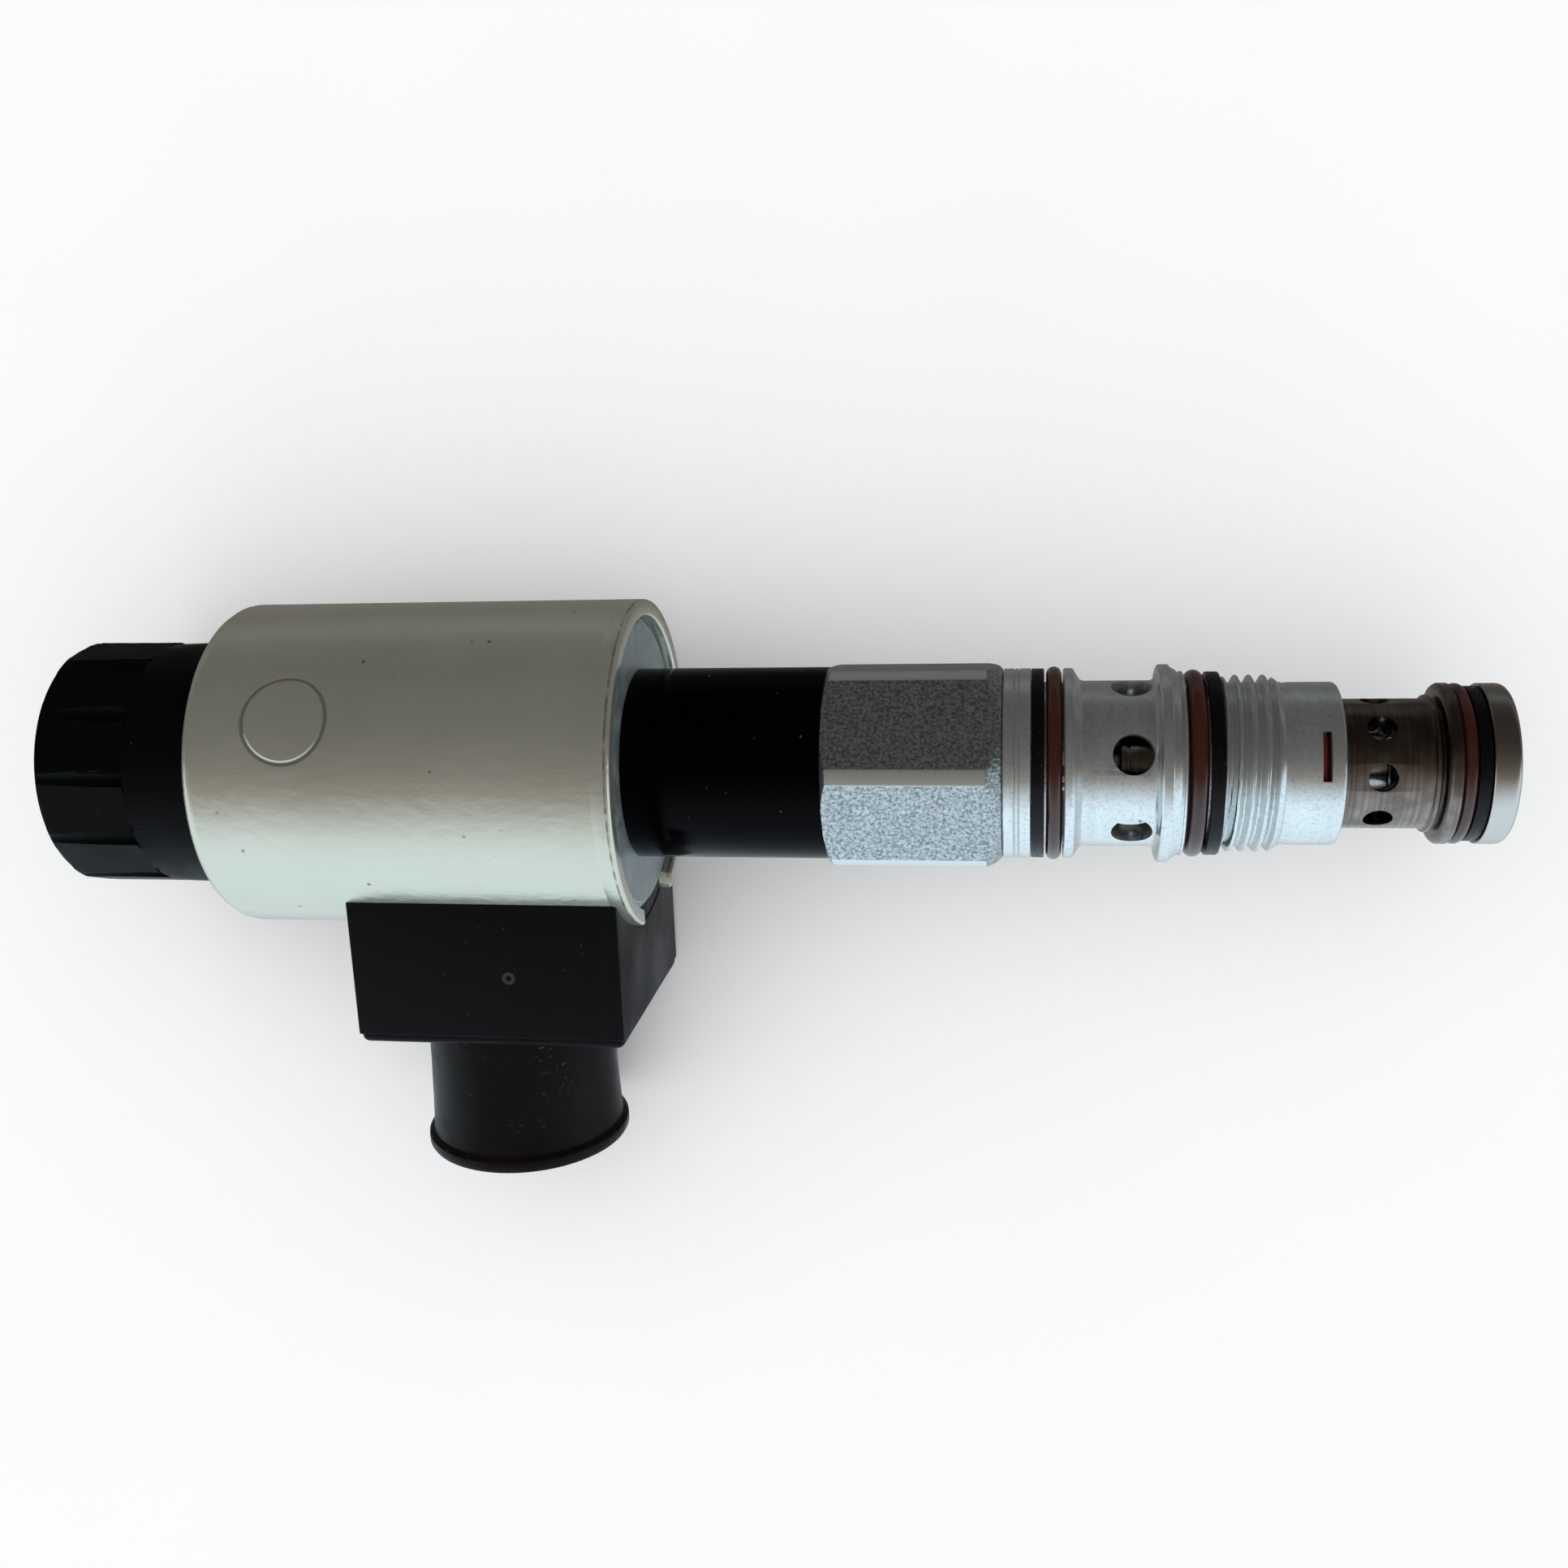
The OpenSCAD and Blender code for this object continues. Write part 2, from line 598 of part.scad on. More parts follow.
// Zinc-plated steel body: wrench hexagon, seal grooves, upper port, shoulder, thread and skirt
module valve_body() color([0.78, 0.81, 0.83]) {
    hex_r = hex_af / 2 / cos(30);
    corner_r = hex_corner_d / 2;
    land_r = land_d / 2;
    shoulder_r = shoulder_d / 2;
    difference() {
        union() {
            intersection() {
                rotate([-hex_turn, 0, 0]) rotate([0, -90, 0]) translate([0, 0, -hex_right - 0.4])
                    cylinder(h = hex_len + 0.4, r = hex_r, $fn = 6);
                turned([[hex_left, 0], [hex_left, adapter_d / 2], [hex_left + hex_lead_left, corner_r],
                    [hex_right - hex_lead_right, corner_r], [hex_right, land_r - 0.05],
                    [hex_right + 0.4, land_r - 0.6], [hex_right + 0.4, 0]]);
            }
            turned(concat([[hex_right - 0.2, 0], [hex_right - 0.2, land_r],
                [hex_right + 1.25, land_r], [hex_right + 1.35, land_r - 0.12], [hex_right + 1.45, land_r],
                [hex_right + 1.75, land_r], [hex_right + 1.85, land_r - 0.12], [hex_right + 1.95, land_r],
                [gland_1_left, land_r], [gland_1_left, gland_1_d / 2], [gland_1_right, gland_1_d / 2],
                [gland_1_right, land_r], [port_left - 0.4, land_r], [port_left, land_r - 0.5],
                [port_left + 0.3, port_neck_d / 2 + 0.5], [port_left + 0.9, port_neck_d / 2],
                [-shoulder_t - 0.7, port_neck_d / 2], [-shoulder_t - 0.25, port_neck_d / 2 + 0.4],
                [-shoulder_t, shoulder_r - 0.3], [-shoulder_t + 0.25, shoulder_r], [0, shoulder_r],
                [0, shoulder_r - 0.2], [seat_len - 0.6, seat_d / 2], [seat_len - 0.6, seat_d / 2 - 0.25],
                [seat_len - 0.3, seat_d / 2 - 0.25], [seat_len - 0.3, seat_d / 2], [gland_2_left, seat_d / 2],
                [gland_2_left, gland_2_d / 2], [gland_2_right, gland_2_d / 2],
                [gland_2_right, thread_d / 2 - 0.5]],
                thread_points(gland_2_right + 0.3, thread_turns, thread_pitch, thread_d / 2, thread_depth),
                [[thread_right, thread_d / 2 - thread_depth], [thread_right + 0.6, skirt_d / 2 - 0.1],
                [thread_right + 1, skirt_d / 2], [skirt_right - 0.5, skirt_d / 2],
                [skirt_right, skirt_d / 2 - 0.5], [skirt_right, 0]]));
        }
        bar(hex_left - cut, spigot_right + 0.3, spigot_d / 2);
        bar(spigot_right, chamber_left + cut, pin_r + 0.8);
        bar(chamber_left, skirt_right + cut, body_bore_r);
        pipe(wire_x - wire_slot_w / 2, wire_x + wire_slot_w / 2, wire_ring_r + wire_d / 2 + 0.03, 1);
        radial_holes(port_hole_x, port_hole_d, port_hole_n, port_hole_turn, sleeve_r - cut, land_d);
        rotate([-wire_slot_turn - wire_slot_angle / 2, 0, 0]) rotate([0, 90, 0])
            translate([0, 0, wire_x - wire_slot_w / 2])
                rotate([0, 0, 180 - wire_slot_angle]) rotate_extrude(angle = wire_slot_angle)
                    translate([sleeve_r - 0.4, 0]) square([4, wire_slot_w]);
    }
}

// Glass-filled PTFE ring beside the upper O-ring
module backup_ring_1() color([0.08, 0.08, 0.09]) {
    pipe(gland_1_left + face_gap, gland_1_left + backup_w, land_d / 2 - 0.02, gland_1_d / 2 + face_gap);
}

// Brown rubber O-ring above the upper port
module oring_1() color([0.3, 0.12, 0.1]) {
    ring((gland_1_left + backup_w + gland_1_right) / 2, (gland_1_d + oring_1_section) / 2 + face_gap,
        oring_1_section);
}

// Brown rubber O-ring between the shoulder and the thread
module oring_2() color([0.3, 0.12, 0.1]) {
    ring(gland_2_left + (gland_2_len - backup_w) / 2, (gland_2_d + oring_2_section) / 2 + face_gap,
        oring_2_section);
}

// Glass-filled PTFE ring beside the lower O-ring
module backup_ring_2() color([0.08, 0.08, 0.09]) {
    pipe(gland_2_right - backup_w, gland_2_right - face_gap, seat_d / 2 - 0.1, gland_2_d / 2 + face_gap);
}

// Lacquered spring-steel wire that keeps the floating nose in the body
module retaining_wire() color([0.35, 0.03, 0.04]) {
    ring(wire_x, wire_ring_r, wire_d);
}

// Hardened steel sleeve that floats in the body: it guides the spool and has the lower port and nose seals
module nose_sleeve() color([0.32, 0.3, 0.28]) {
    guide_r = guide_d / 2;
    nose_r = nose_d / 2;
    end_r = nose_end_d / 2;
    annulus_r = bore_r + 1.6;
    annulus_w = nose_hole_d + 0.6;
    difference() {
        turned([[sleeve_left, bore_r], [sleeve_left, guide_r - 0.2], [sleeve_left + 0.2, guide_r],
            [sleeve_left + 0.8, guide_r], [sleeve_left + 0.8, guide_r - 0.4],
            [sleeve_left + 1.15, guide_r - 0.4], [sleeve_left + 1.15, guide_r], [guide_right, guide_r],
            [guide_right, sleeve_r - 0.3], [guide_right + 0.3, sleeve_r],
            [sleeve_gland_left, sleeve_r], [sleeve_gland_left, sleeve_r - 1.1],
            [sleeve_gland_right, sleeve_r - 1.1], [sleeve_gland_right, sleeve_r],
            [wire_x - 0.6, sleeve_r], [wire_x - 0.6, sleeve_r - 0.5], [wire_x + 0.6, sleeve_r - 0.5],
            [wire_x + 0.6, sleeve_r], [neck_right - 1, sleeve_r], [neck_right - 0.9, sleeve_r + 0.4],
            [neck_right - 0.5, sleeve_r + 0.4], [neck_right - 0.4, sleeve_r - 0.2],
            [neck_right, sleeve_r - 0.2],
            [neck_right, nose_r - 0.6], [neck_right + 0.4, nose_r], [gland_3_left, nose_r],
            [gland_3_left, gland_3_d / 2], [gland_3_right, gland_3_d / 2], [gland_3_right, end_r],
            [nose_right - 0.6, end_r], [nose_right - 0.15, end_r - 0.3], [nose_right, end_r - 0.8],
            [nose_right, mouth_d / 2], [seat_left, mouth_d / 2], [seat_left, bore_r],
            [nose_hole_x + annulus_w / 2, bore_r], [nose_hole_x + annulus_w / 2, annulus_r],
            [nose_hole_x - annulus_w / 2, annulus_r], [nose_hole_x - annulus_w / 2, bore_r]]);
        radial_holes(nose_hole_x, nose_hole_d, nose_hole_n, nose_hole_turn, annulus_r - 0.6, nose_d);
    }
}

// O-ring between the floating sleeve and the body's bore
module sleeve_oring() color("saddlebrown") {
    ring((sleeve_gland_left + sleeve_gland_right) / 2, sleeve_r - 0.53, 1.1);
}

// Brown rubber O-ring on the nose
module oring_3() color([0.3, 0.12, 0.1]) {
    ring(gland_3_left + (gland_3_len - backup_w) / 2, (gland_3_d + oring_3_section) / 2 + face_gap,
        oring_3_section);
}

// Glass-filled PTFE ring beside the nose O-ring
module backup_ring_3() color([0.08, 0.08, 0.09]) {
    pipe(gland_3_right - backup_w, gland_3_right - face_gap, nose_end_d / 2 - backup_step,
        gland_3_d / 2 + face_gap);
}

// Hardened spool: its groove meets the lower port, and its cross holes open to the upper port at rest
module spool() color("gainsboro") {
    groove_right = nose_hole_x - nose_hole_d / 2 - 0.7;
    groove_left = groove_right - 12;
    drill_r = 1.2;
    difference() {
        turned([[spool_left, 0], [spool_left, 1.8], [sleeve_left - 3, 1.8], [sleeve_left - 3, spool_r],
            [groove_left, spool_r], [groove_left, spool_r - 0.9], [groove_right, spool_r - 0.9],
            [groove_right, spool_r], [spool_right, spool_r], [spool_right, 0]]);
        bar(sleeve_left - 2.2, spool_right + cut, drill_r);
        radial_holes(sleeve_left - 1.1, 1.4, 4, 0, 0, bore_r * 2);
        radial_holes(groove_right - 5, 1.6, 4, 0, 0, bore_r * 2);
    }
}

// Steel seat pressed into the nose, with the damping hole
module spring_seat() color("darkgray") {
    pipe(seat_left, mouth_left, mouth_d / 2 - face_gap, 0.8);
}

// Small closed rings stand for each coil of the return spring
module return_spring() color("lightslategray") {
    step = (spring_len - spring_wire - 2 * face_gap) / (spring_coils - 1);
    for (i = [0 : spring_coils - 1])
        ring(spool_right + face_gap + spring_wire / 2 + i * step, spring_r, spring_wire);
}

coil_shell();
front_plate();
bobbin();
winding();
overmould();
power_blades();
earth_blade();
screw_insert();
protective_cap();
coil_nut();
nut_oring();
solenoid_tube();
tube_plug();
armature();
air_gap_shim();
pole_piece();
push_pin();
adapter();
adapter_oring();
pin_bush();
valve_body();
backup_ring_1();
oring_1();
oring_2();
backup_ring_2();
retaining_wire();
nose_sleeve();
sleeve_oring();
oring_3();
backup_ring_3();
spool();
return_spring();
spring_seat();
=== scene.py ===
import math

import bpy
from mathutils import Matrix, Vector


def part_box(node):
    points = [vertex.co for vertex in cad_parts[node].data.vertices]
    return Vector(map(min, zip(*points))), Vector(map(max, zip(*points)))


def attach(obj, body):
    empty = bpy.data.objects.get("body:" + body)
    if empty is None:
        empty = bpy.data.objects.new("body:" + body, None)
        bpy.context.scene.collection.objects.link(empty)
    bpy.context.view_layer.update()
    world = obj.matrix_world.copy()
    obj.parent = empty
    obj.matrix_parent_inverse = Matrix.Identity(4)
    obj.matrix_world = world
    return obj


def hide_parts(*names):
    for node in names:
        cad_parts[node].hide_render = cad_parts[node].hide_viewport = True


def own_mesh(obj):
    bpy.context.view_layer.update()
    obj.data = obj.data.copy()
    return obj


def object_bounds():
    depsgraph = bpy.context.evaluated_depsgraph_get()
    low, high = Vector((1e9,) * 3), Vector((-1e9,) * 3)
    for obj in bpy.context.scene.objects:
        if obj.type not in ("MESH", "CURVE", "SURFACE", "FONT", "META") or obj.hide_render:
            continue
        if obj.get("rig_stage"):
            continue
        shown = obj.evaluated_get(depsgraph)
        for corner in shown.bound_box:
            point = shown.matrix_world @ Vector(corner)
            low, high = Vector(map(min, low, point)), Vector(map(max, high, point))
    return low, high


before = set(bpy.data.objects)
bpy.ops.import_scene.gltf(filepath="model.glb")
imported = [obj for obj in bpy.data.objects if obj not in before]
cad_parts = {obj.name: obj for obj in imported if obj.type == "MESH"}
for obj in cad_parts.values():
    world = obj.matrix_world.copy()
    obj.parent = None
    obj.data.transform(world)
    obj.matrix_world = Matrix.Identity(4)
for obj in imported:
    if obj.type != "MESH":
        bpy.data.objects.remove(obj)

cad_low, cad_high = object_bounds()

# Camera. The valve lies on a table and is seen from a hand's height straight above it,
# slightly from the coil's side, so the coil's front face and the hexagon's two upper flats both show.
mm = 0.001
camera_data = bpy.data.cameras.new("camera")
camera_data.sensor_width = 36
camera_data.lens = 36.443
camera_data.clip_start = 0.01
camera = bpy.data.objects.new("camera", camera_data)
bpy.context.collection.objects.link(camera)
camera.location = (-14.91 * mm, 17.51 * mm, 183.8 * mm)
camera.rotation_euler = [math.radians(turn) for turn in (-6.269, 8.9, -0.791)]
bpy.context.scene.camera = camera
bpy.context.scene.view_settings.view_transform = "Standard"


# Floor: a pale matt table top that the coil and the cap's lip rest on.
# It is a painted board, so it has only a faint cloudiness.
def colour(hex_code):
    """An sRGB hex colour as the linear colour that the shaders work in."""
    parts = [int(hex_code[at:at + 2], 16) / 255 for at in (1, 3, 5)]
    return [c / 12.92 if c <= 0.04045 else ((c + 0.055) / 1.055) ** 2.4 for c in parts] + [1]


def finish_of(name, base, metallic, roughness, **more):
    """A new material for a real finish, with its even values on the shader's own sockets."""
    made = bpy.data.materials.new(name)
    made.use_nodes = True
    shader = made.node_tree.nodes["Principled BSDF"]
    shader.inputs["Base Color"].default_value = colour(base)
    shader.inputs["Metallic"].default_value = metallic
    shader.inputs["Roughness"].default_value = roughness
    for socket, value in more.items():
        shader.inputs[socket.replace("_", " ")].default_value = value
    return made


def add(material, kind, settings=None, links=None):
    """Adds a node of this kind, with its settings, and links other nodes or sockets into it."""
    made = material.node_tree.nodes.new("ShaderNode" + kind)
    for key, value in (settings or {}).items():
        if isinstance(key, str) and hasattr(made, key):
            setattr(made, key, value)
        else:
            made.inputs[key].default_value = value
    for key, source in (links or {}).items():
        socket = source if isinstance(source, bpy.types.NodeSocket) else source.outputs[0]
        material.node_tree.links.new(socket, made.inputs[key])
    return made


def wire(material, **sockets):
    """Links nodes or sockets to the named inputs of the material's shader."""
    shader = material.node_tree.nodes["Principled BSDF"]
    for name, source in sockets.items():
        socket = source if isinstance(source, bpy.types.NodeSocket) else source.outputs[0]
        material.node_tree.links.new(socket, shader.inputs[name.replace("_", " ")])


def grain(material, size, detail=2, stretch=(1, 1, 1)):
    """Noise whose grain is this many millimetres across, longer along an axis whose stretch is above 1."""
    place = add(material, "TexCoord").outputs["Object"]
    spread = add(material, "Mapping", {"Scale": [1 / s for s in stretch]}, {"Vector": place})
    return add(material, "TexNoise", {"Scale": 1 / (size * mm), "Detail": detail}, {"Vector": spread})


# Board paint: a matt emulsion, so the shadows lie soft on it
board_paint = finish_of("board_paint", "#f4f5f5", 0, 0.9)
cloudy = grain(board_paint, 60)
wire(board_paint,
     Base_Color=add(board_paint, "Mix", {"data_type": "RGBA", 6: colour("#f2f3f4"), 7: colour("#f7f7f6")},
                    {0: cloudy}).outputs[2])
bpy.ops.object.select_all(action="DESELECT")
table_size = 6
bpy.ops.mesh.primitive_plane_add(size=table_size, location=(cad_low.x, 0, cad_low.z))
bpy.ops.object.transform_apply(location=True, rotation=True, scale=True)
floor = bpy.context.object
floor.name = "floor"
floor.data.materials.append(board_paint)
floor.visible_glossy = False
floor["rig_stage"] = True

# Lights: a bright wall on the connector's side and a dim room behind the valve are mirrored in the metal.
# An even dome and a broad overhead fill light the board and the matt pieces, so shadows stay faint.
sky = bpy.data.worlds.new("room")
bpy.context.scene.world = sky
sky.use_nodes = True
room = sky.node_tree.nodes["Background"]
room.inputs["Strength"].default_value = 1
bearing = sky.node_tree.nodes.new("ShaderNodeTexCoord")
split = sky.node_tree.nodes.new("ShaderNodeSeparateXYZ")
sky.node_tree.links.new(bearing.outputs["Generated"], split.inputs[0])
towards_wall = sky.node_tree.nodes.new("ShaderNodeMath")
towards_wall.operation = "MULTIPLY"
towards_wall.inputs[1].default_value = -1
sky.node_tree.links.new(split.outputs["Y"], towards_wall.inputs[0])
lean = sky.node_tree.nodes.new("ShaderNodeMath")
lean.operation = "ARCTAN2"
sky.node_tree.links.new(towards_wall.outputs[0], lean.inputs[0])
sky.node_tree.links.new(split.outputs["Z"], lean.inputs[1])
round_the_axis = sky.node_tree.nodes.new("ShaderNodeMapRange")
round_the_axis.inputs["From Min"].default_value = -math.pi
round_the_axis.inputs["From Max"].default_value = math.pi
sky.node_tree.links.new(lean.outputs[0], round_the_axis.inputs["Value"])
walls = sky.node_tree.nodes.new("ShaderNodeValToRGB")
sky.node_tree.links.new(round_the_axis.outputs[0], walls.inputs[0])
# Degrees from straight up towards the bright wall, the radiance there, and its tint
surroundings = [(-180, 0.2, "#fff8f0"), (-132, 0.09, "#fff8f0"), (-112, 0.18, "#f4fbff"),
                (-98, 0.07, "#fff4ea"), (-75, 0.045, "#fff0e4"), (-35, 0.06, "#fff0e4"),
                (-17, 0.09, "#fff0e2"), (0, 0.15, "#fff0e0"), (17, 0.28, "#fff2e4"), (35, 0.8, "#f2f8ff"),
                (54, 1.4, "#e4f5ff"), (75, 1.55, "#dff3ff"), (99, 1.5, "#dff3ff"), (132, 1.25, "#e8f6ff"),
                (179, 0.3, "#ffffff")]
while len(walls.color_ramp.elements) < len(surroundings):
    walls.color_ramp.elements.new(0.5)
for stop, (degrees, radiance, tint) in zip(walls.color_ramp.elements, surroundings):
    stop.position = degrees / 360 + 0.5
for stop, (degrees, radiance, tint) in zip(walls.color_ramp.elements, surroundings):
    stop.color = [radiance * part for part in colour(tint)[:3]] + [1]
ray = sky.node_tree.nodes.new("ShaderNodeLightPath")
dome = sky.node_tree.nodes.new("ShaderNodeMix")
dome.data_type = "RGBA"
even_light = 0.9
dome.inputs[7].default_value = (even_light, even_light, even_light, 1)
sky.node_tree.links.new(ray.outputs["Is Diffuse Ray"], dome.inputs[0])
sky.node_tree.links.new(walls.outputs[0], dome.inputs[6])
sky.node_tree.links.new(dome.outputs[2], room.inputs["Color"])
fill_data = bpy.data.lights.new("fill", "AREA")
fill_data.shape = "RECTANGLE"
fill_size, fill_radiance = 2.6, 0.3
fill_data.size = fill_data.size_y = fill_size
fill_data.energy = fill_radiance * math.pi * fill_size * fill_size
fill = bpy.data.objects.new("fill", fill_data)
bpy.context.collection.objects.link(fill)
fill.location = (-0.05, 0, 1.2)
fill.visible_glossy = False
fill.visible_camera = False


# Coil shell: the can of the solenoid, deep drawn from low-carbon steel and satin zinc plated.
# Its closed end has a soft bevel; the open rim is trimmed square with a faint scored line behind it,
# and a slot in the rim lets the moulding out. A plain ring is stamped near the closed end.
def start_clean():
    """Leaves nothing selected, so that the next operator works only on what it makes."""
    if bpy.context.mode != "OBJECT":
        bpy.ops.object.mode_set(mode="OBJECT")
    bpy.ops.object.select_all(action="DESELECT")


def turned(name, outline, steps):
    """Lathe work: an outline of stations and radii in millimetres, closed and spun about the valve axis."""
    start_clean()
    bpy.ops.mesh.primitive_plane_add(size=0.001, location=(0, 0, 0))
    piece = bpy.context.object
    piece.name = piece.data.name = name
    bpy.ops.object.mode_set(mode="EDIT")
    bpy.ops.mesh.select_all(action="SELECT")
    bpy.ops.mesh.merge(type="CENTER")
    bpy.ops.transform.translate(value=(outline[0][0] * mm, 0, outline[0][1] * mm))
    for start, end in zip(outline, outline[1:] + outline[:1]):
        move = ((end[0] - start[0]) * mm, 0, (end[1] - start[1]) * mm)
        bpy.ops.mesh.extrude_vertices_move(TRANSFORM_OT_translate={"value": move})
    bpy.ops.mesh.select_all(action="SELECT")
    bpy.ops.mesh.spin(steps=steps, angle=math.tau, center=(0, 0, 0), axis=(1, 0, 0))
    bpy.ops.mesh.select_all(action="SELECT")
    bpy.ops.mesh.remove_doubles(threshold=1e-7)
    bpy.ops.mesh.normals_make_consistent(inside=False)
    bpy.ops.object.mode_set(mode="OBJECT")
    return piece


def pick(piece):
    """Makes this piece the only one that is selected and active."""
    start_clean()
    piece.select_set(True)
    bpy.context.view_layer.objects.active = piece


def modify(piece, kind, **settings):
    """Adds a modifier with its settings and applies it at once."""
    pick(piece)
    made = piece.modifiers.new(kind.lower(), kind)
    for key, value in settings.items():
        setattr(made, key, value)
    bpy.ops.object.modifier_apply(modifier=made.name)


def soften(piece, width, segments=3, angle=30):
    """Rounds every edge sharper than the angle, in millimetres."""
    modify(piece, "BEVEL", width=width * mm, segments=segments, limit_method="ANGLE",
           angle_limit=math.radians(angle), harden_normals=False)


def settle(piece):
    """Puts the piece's place into its mesh and leaves its object at the origin."""
    pick(piece)
    bpy.ops.object.transform_apply(location=True, rotation=True, scale=True)


def cut(piece, *cutters):
    """Takes the cutters' shapes out of the piece and removes them."""
    for cutter in cutters:
        settle(cutter)
        modify(piece, "BOOLEAN", operation="DIFFERENCE", solver="EXACT", object=cutter)
        bpy.data.objects.remove(cutter)


def block(low, high):
    """A box between two corners in millimetres."""
    start_clean()
    bpy.ops.mesh.primitive_cube_add(size=1, location=[(a + b) / 2 * mm for a, b in zip(low, high)])
    bpy.context.object.scale = [(b - a) * mm for a, b in zip(low, high)]
    settle(bpy.context.object)
    return bpy.context.object


def hand_in(piece, body, slot, material, *nodes, smooth=30):
    """Shades the piece, gives it its material and body, and lets it stand for its CAD nodes."""
    pick(piece)
    bpy.ops.object.shade_smooth_by_angle(angle=math.radians(smooth))
    if material is not None:
        piece.data.materials.clear()
        piece.data.materials.append(material)
    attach(piece, body)
    if nodes:
        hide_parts(*nodes)


def dress(material, *nodes):
    """Gives a CAD node that keeps its own shape its real material."""
    for name in nodes:
        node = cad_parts[name]
        for place in node.material_slots:
            place.material = material
        if not node.material_slots:
            node.data.materials.append(material)


shell_low, shell_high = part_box("coil_shell")
rear, front, shell_r = shell_low.x / mm, shell_high.x / mm, shell_high.y / mm
inner_r, bore_r, rear_wall, slot_left, slot_half = shell_r - 1.9, 7.05, 3.5, -91.95, 7.2
# The connector droops until the cap's lip and the can both rest on the table
cap_end, lip_r = 48.22, 12.65
connector = math.asin(shell_r / math.hypot(cap_end, lip_r)) - math.atan(lip_r / cap_end)
shell_outline = [(rear, bore_r), (rear, shell_r - 2.0), (rear + 0.12, shell_r - 1.3),
                 (rear + 0.55, shell_r - 0.55), (rear + 1.3, shell_r - 0.1), (rear + 1.9, shell_r),
                 (front - 2.3, shell_r), (front - 2.2, shell_r - 0.04), (front - 2.1, shell_r - 0.04),
                 (front - 2.0, shell_r), (front - 0.45, shell_r), (front - 0.2, shell_r - 0.07),
                 (front, shell_r - 0.3), (front, inner_r + 0.2), (front - 0.2, inner_r),
                 (rear + rear_wall, inner_r), (rear + rear_wall, bore_r)]
shell = turned("coil_can", shell_outline, 256)
slot_cutter = block((slot_left, -40, -slot_half), (front + 2, -inner_r / 2, slot_half))
slot_cutter.rotation_euler = (connector, 0, 0)
cut(shell, slot_cutter)
soften(shell, 0.12, 2, 40)


def line_at(material, source, middle, solid, faded, strength=1.0):
    """A line where source passes the middle: full to its solid half width, gone at the faded one, in mm."""
    gap = add(material, "Math", {"operation": "SUBTRACT", 1: middle * mm}, {0: source})
    away = add(material, "Math", {"operation": "ABSOLUTE"}, {0: gap})
    return add(material, "MapRange",
               {"From Min": solid * mm, "From Max": faded * mm, "To Min": strength, "To Max": 0.0},
               {"Value": away})


# Satin zinc: barrel plating over a drawn skin, which gives a soft sheen, orange peel and a few dark pits
satin_zinc = finish_of("satin_zinc_on_drawn_steel", "#c0c0b4", 0.8, 0.25)
clouds = grain(satin_zinc, 14, 3)
orange_peel = grain(satin_zinc, 1.5, 3, (1.4, 1, 1))
drawn_lines = grain(satin_zinc, 0.5, 2, (30, 1, 1))
pits = add(satin_zinc, "TexVoronoi", {"Scale": 1 / (4.5 * mm), "Randomness": 1.0},
           {"Vector": add(satin_zinc, "TexCoord").outputs["Object"]})
pit_mask = add(satin_zinc, "MapRange", {"From Min": 0.02, "From Max": 0.07, "To Min": 1.0, "To Max": 0.0},
               {"Value": pits})
along = add(satin_zinc, "SeparateXYZ", {}, {0: add(satin_zinc, "TexCoord").outputs["Object"]}).outputs["X"]
rim_line = line_at(satin_zinc, along, front - 0.5, 0.03, 0.2, 0.75)
# A dark line, broken up by noise, is painted 0.5 mm behind the rim, where the rim starts to round off.
rim_dark_line = add(satin_zinc, "Math", {"operation": "MULTIPLY"},
               {0: rim_line,
                1: add(satin_zinc, "MapRange", {"From Min": 0.35, "From Max": 0.6},
                       {"Value": grain(satin_zinc, 1.4, 3)})})
# The stamped ring: a circle whose centre lies on the can's upper side
ring_turn, ring_station, ring_r = math.radians(19.45), -97.45, 4.95
ring_centre = (ring_station * mm, math.sin(ring_turn) * shell_r * mm, math.cos(ring_turn) * shell_r * mm)
from_centre = add(satin_zinc, "VectorMath", {"operation": "DISTANCE", 1: ring_centre},
                  {0: add(satin_zinc, "TexCoord").outputs["Object"]}).outputs["Value"]
ring_line = line_at(satin_zinc, from_centre, ring_r, 0.1, 0.34)
zinc_tone = add(satin_zinc, "Mix", {"data_type": "RGBA", 6: colour("#bbbbae"), 7: colour("#c8c8bb")},
                {0: clouds}).outputs[2]
zinc_tone = add(satin_zinc, "Mix", {"data_type": "RGBA", 7: colour("#6a665f")},
                {0: pit_mask, 6: zinc_tone}).outputs[2]
zinc_tone = add(satin_zinc, "Mix", {"data_type": "RGBA", 7: colour("#45403d")},
                {0: rim_dark_line, 6: zinc_tone}).outputs[2]
# A dark line is painted along the stamped ring's groove.
ring_groove_darkening = add(satin_zinc, "MapRange", {"From Min": 0.2, "To Max": 0.55}, {"Value": ring_line})
zinc_tone = add(satin_zinc, "Mix", {"data_type": "RGBA", 7: colour("#4a4b47")},
                {0: ring_groove_darkening, 6: zinc_tone}).outputs[2]
relief = add(satin_zinc, "Bump", {"Strength": 0.9, "Distance": 0.06 * mm}, {"Height": orange_peel})
relief = add(satin_zinc, "Bump", {"Strength": 0.12, "Distance": 0.01 * mm},
             {"Height": drawn_lines, "Normal": relief})
relief = add(satin_zinc, "Bump", {"Strength": 0.5, "Distance": 0.04 * mm},
             {"Height": add(satin_zinc, "MapRange", {"To Min": 1, "To Max": 0}, {"Value": pit_mask}),
              "Normal": relief})
relief = add(satin_zinc, "Bump", {"Strength": 0.9, "Distance": 0.16 * mm},
             {"Height": add(satin_zinc, "MapRange", {"To Min": 1, "To Max": 0}, {"Value": ring_line}),
              "Normal": relief})
